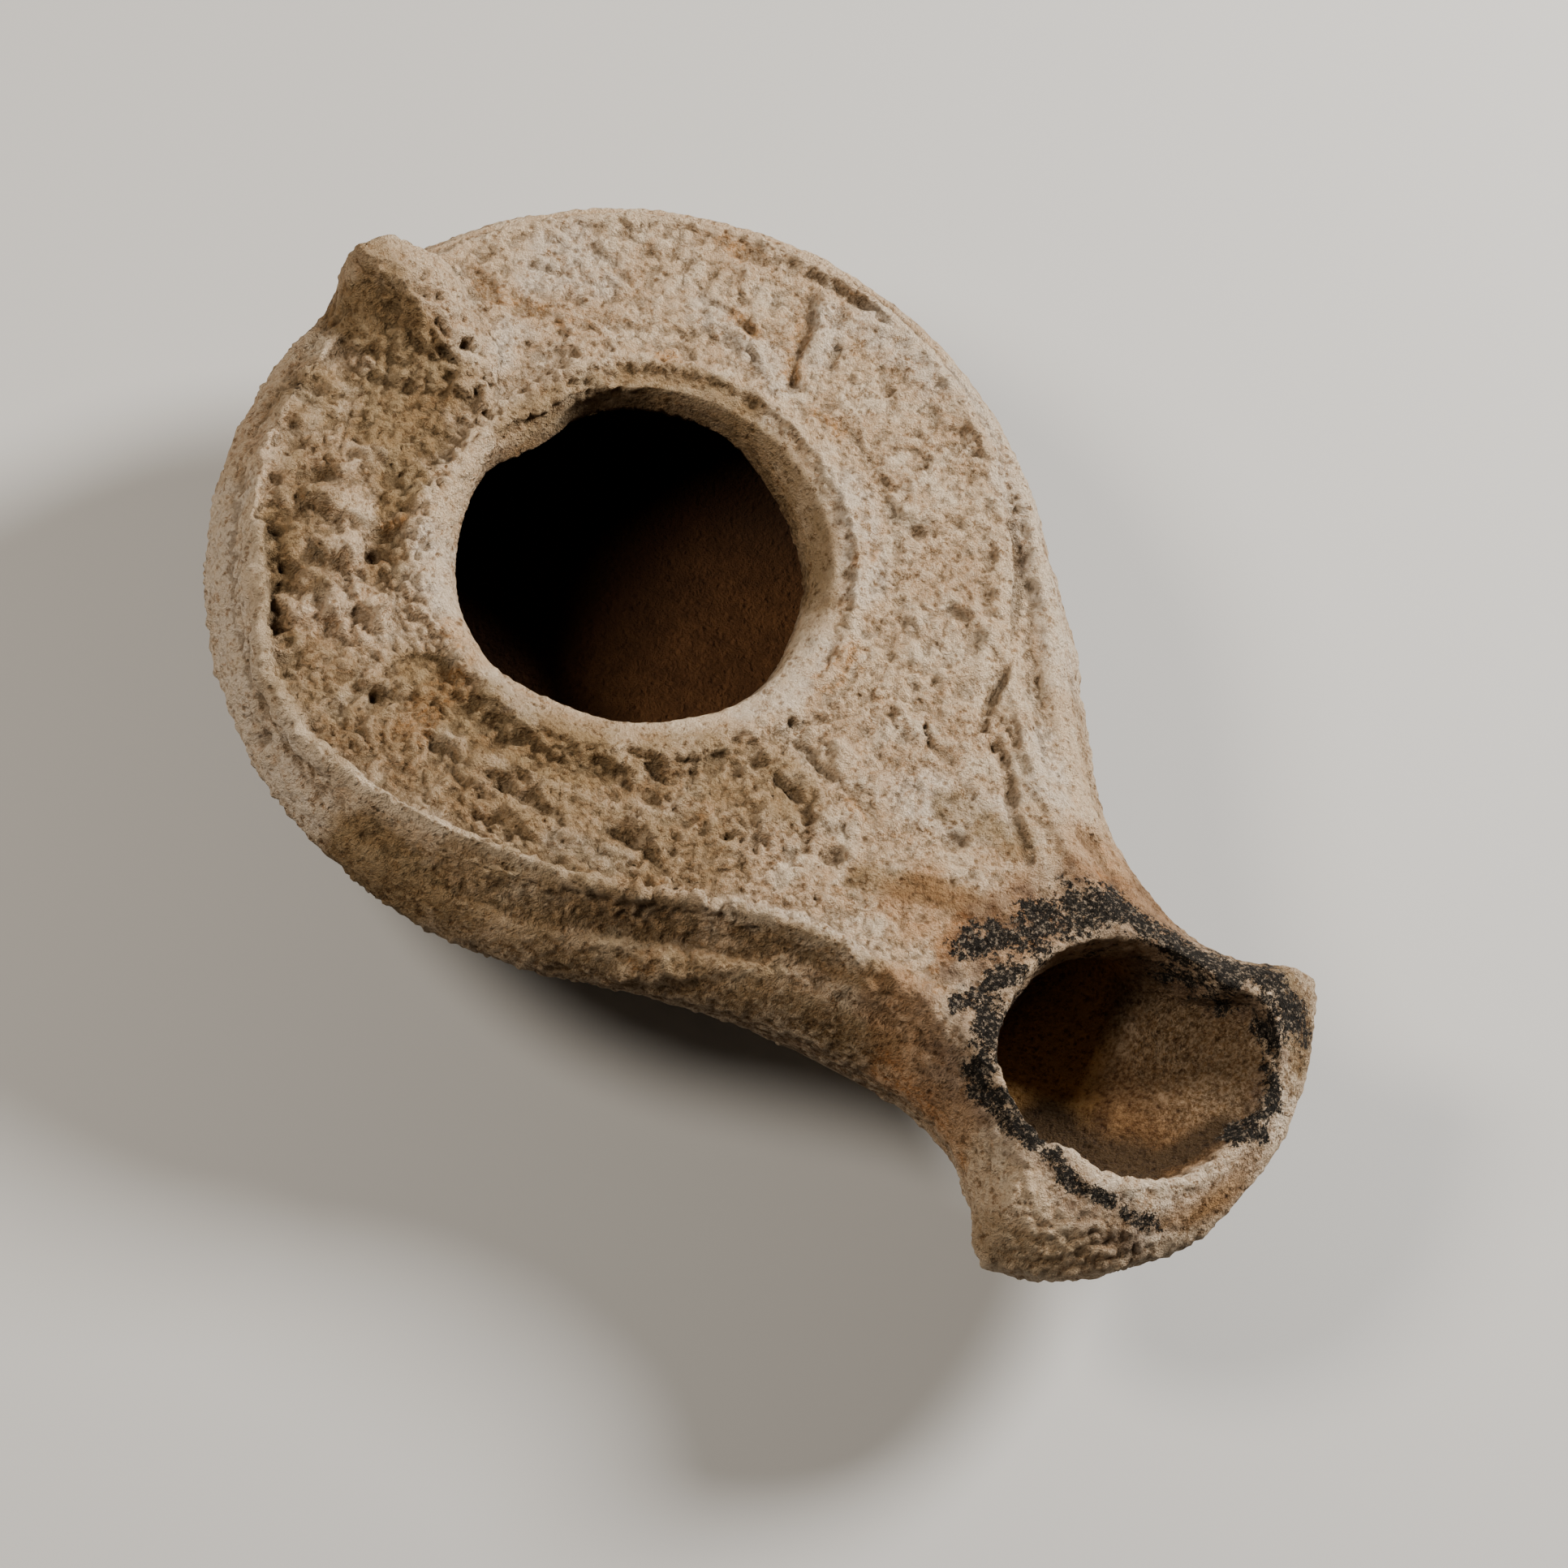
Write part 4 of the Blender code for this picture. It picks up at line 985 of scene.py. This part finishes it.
studio = {
    "floorSize": 3000.0,
    "floorColour": (0.38, 0.38, 0.38, 1),
    "floorRoughness": 0.9,
    "lightAim": (0, -15, 15),
    "lightSize": 120,
    "roomColour": (1, 0.86, 0.70, 1),
    "roomStrength": 0.065,
    "lens": 174.2,
    "cameraPlace": (-201.7, -141.3, 507.3),
    "cameraAim": (-1.4, -17.9, 15.5),
    "roll": 16.5,
}

deselect()
bpy.ops.mesh.primitive_plane_add(size=studio["floorSize"] * mm, location=(0, 0, 0))
floor = bpy.context.object
floor.name = "floor"
floorMat = bpy.data.materials.new("paleFloor")
floorMat.use_nodes = True
floorShader = floorMat.node_tree.nodes["Principled BSDF"]
floorShader.inputs["Base Color"].default_value = studio["floorColour"]
floorShader.inputs["Roughness"].default_value = studio["floorRoughness"]
floor.data.materials.append(floorMat)


def softLight(name, place, power, colour):
    data = bpy.data.lights.new(name, "AREA")
    data.shape = "DISK"
    data.size = studio["lightSize"] * mm
    data.energy = power
    data.color = colour
    light = bpy.data.objects.new(name, data)
    bpy.context.scene.collection.objects.link(light)
    here, there = Vector(place) * mm, Vector(studio["lightAim"]) * mm
    light.location = here
    light.rotation_euler = (there - here).to_track_quat("-Z", "Y").to_euler()


softLight("key", (336, -105, 250), 5.5, (1.0, 0.955, 0.885))
softLight("second", (-164, 149, 291), 1.4, (1.0, 0.90, 0.77))

world = bpy.data.worlds.new("room")
bpy.context.scene.world = world
world.use_nodes = True
background = world.node_tree.nodes["Background"]
background.inputs["Color"].default_value = studio["roomColour"]
background.inputs["Strength"].default_value = studio["roomStrength"]

cameraData = bpy.data.cameras.new("camera")
cameraData.lens = studio["lens"]
cameraData.sensor_width = 36.0
cameraData.clip_start = 0.01
camera = bpy.data.objects.new("camera", cameraData)
bpy.context.scene.collection.objects.link(camera)
here = Vector(studio["cameraPlace"]) * mm
there = Vector(studio["cameraAim"]) * mm
look = (there - here).to_track_quat("-Z", "Y").to_matrix()
camera.location = here
camera.rotation_euler = (look @ Matrix.Rotation(math.radians(studio["roll"]), 3, "Z")).to_euler()
bpy.context.scene.camera = camera
print("studio set")
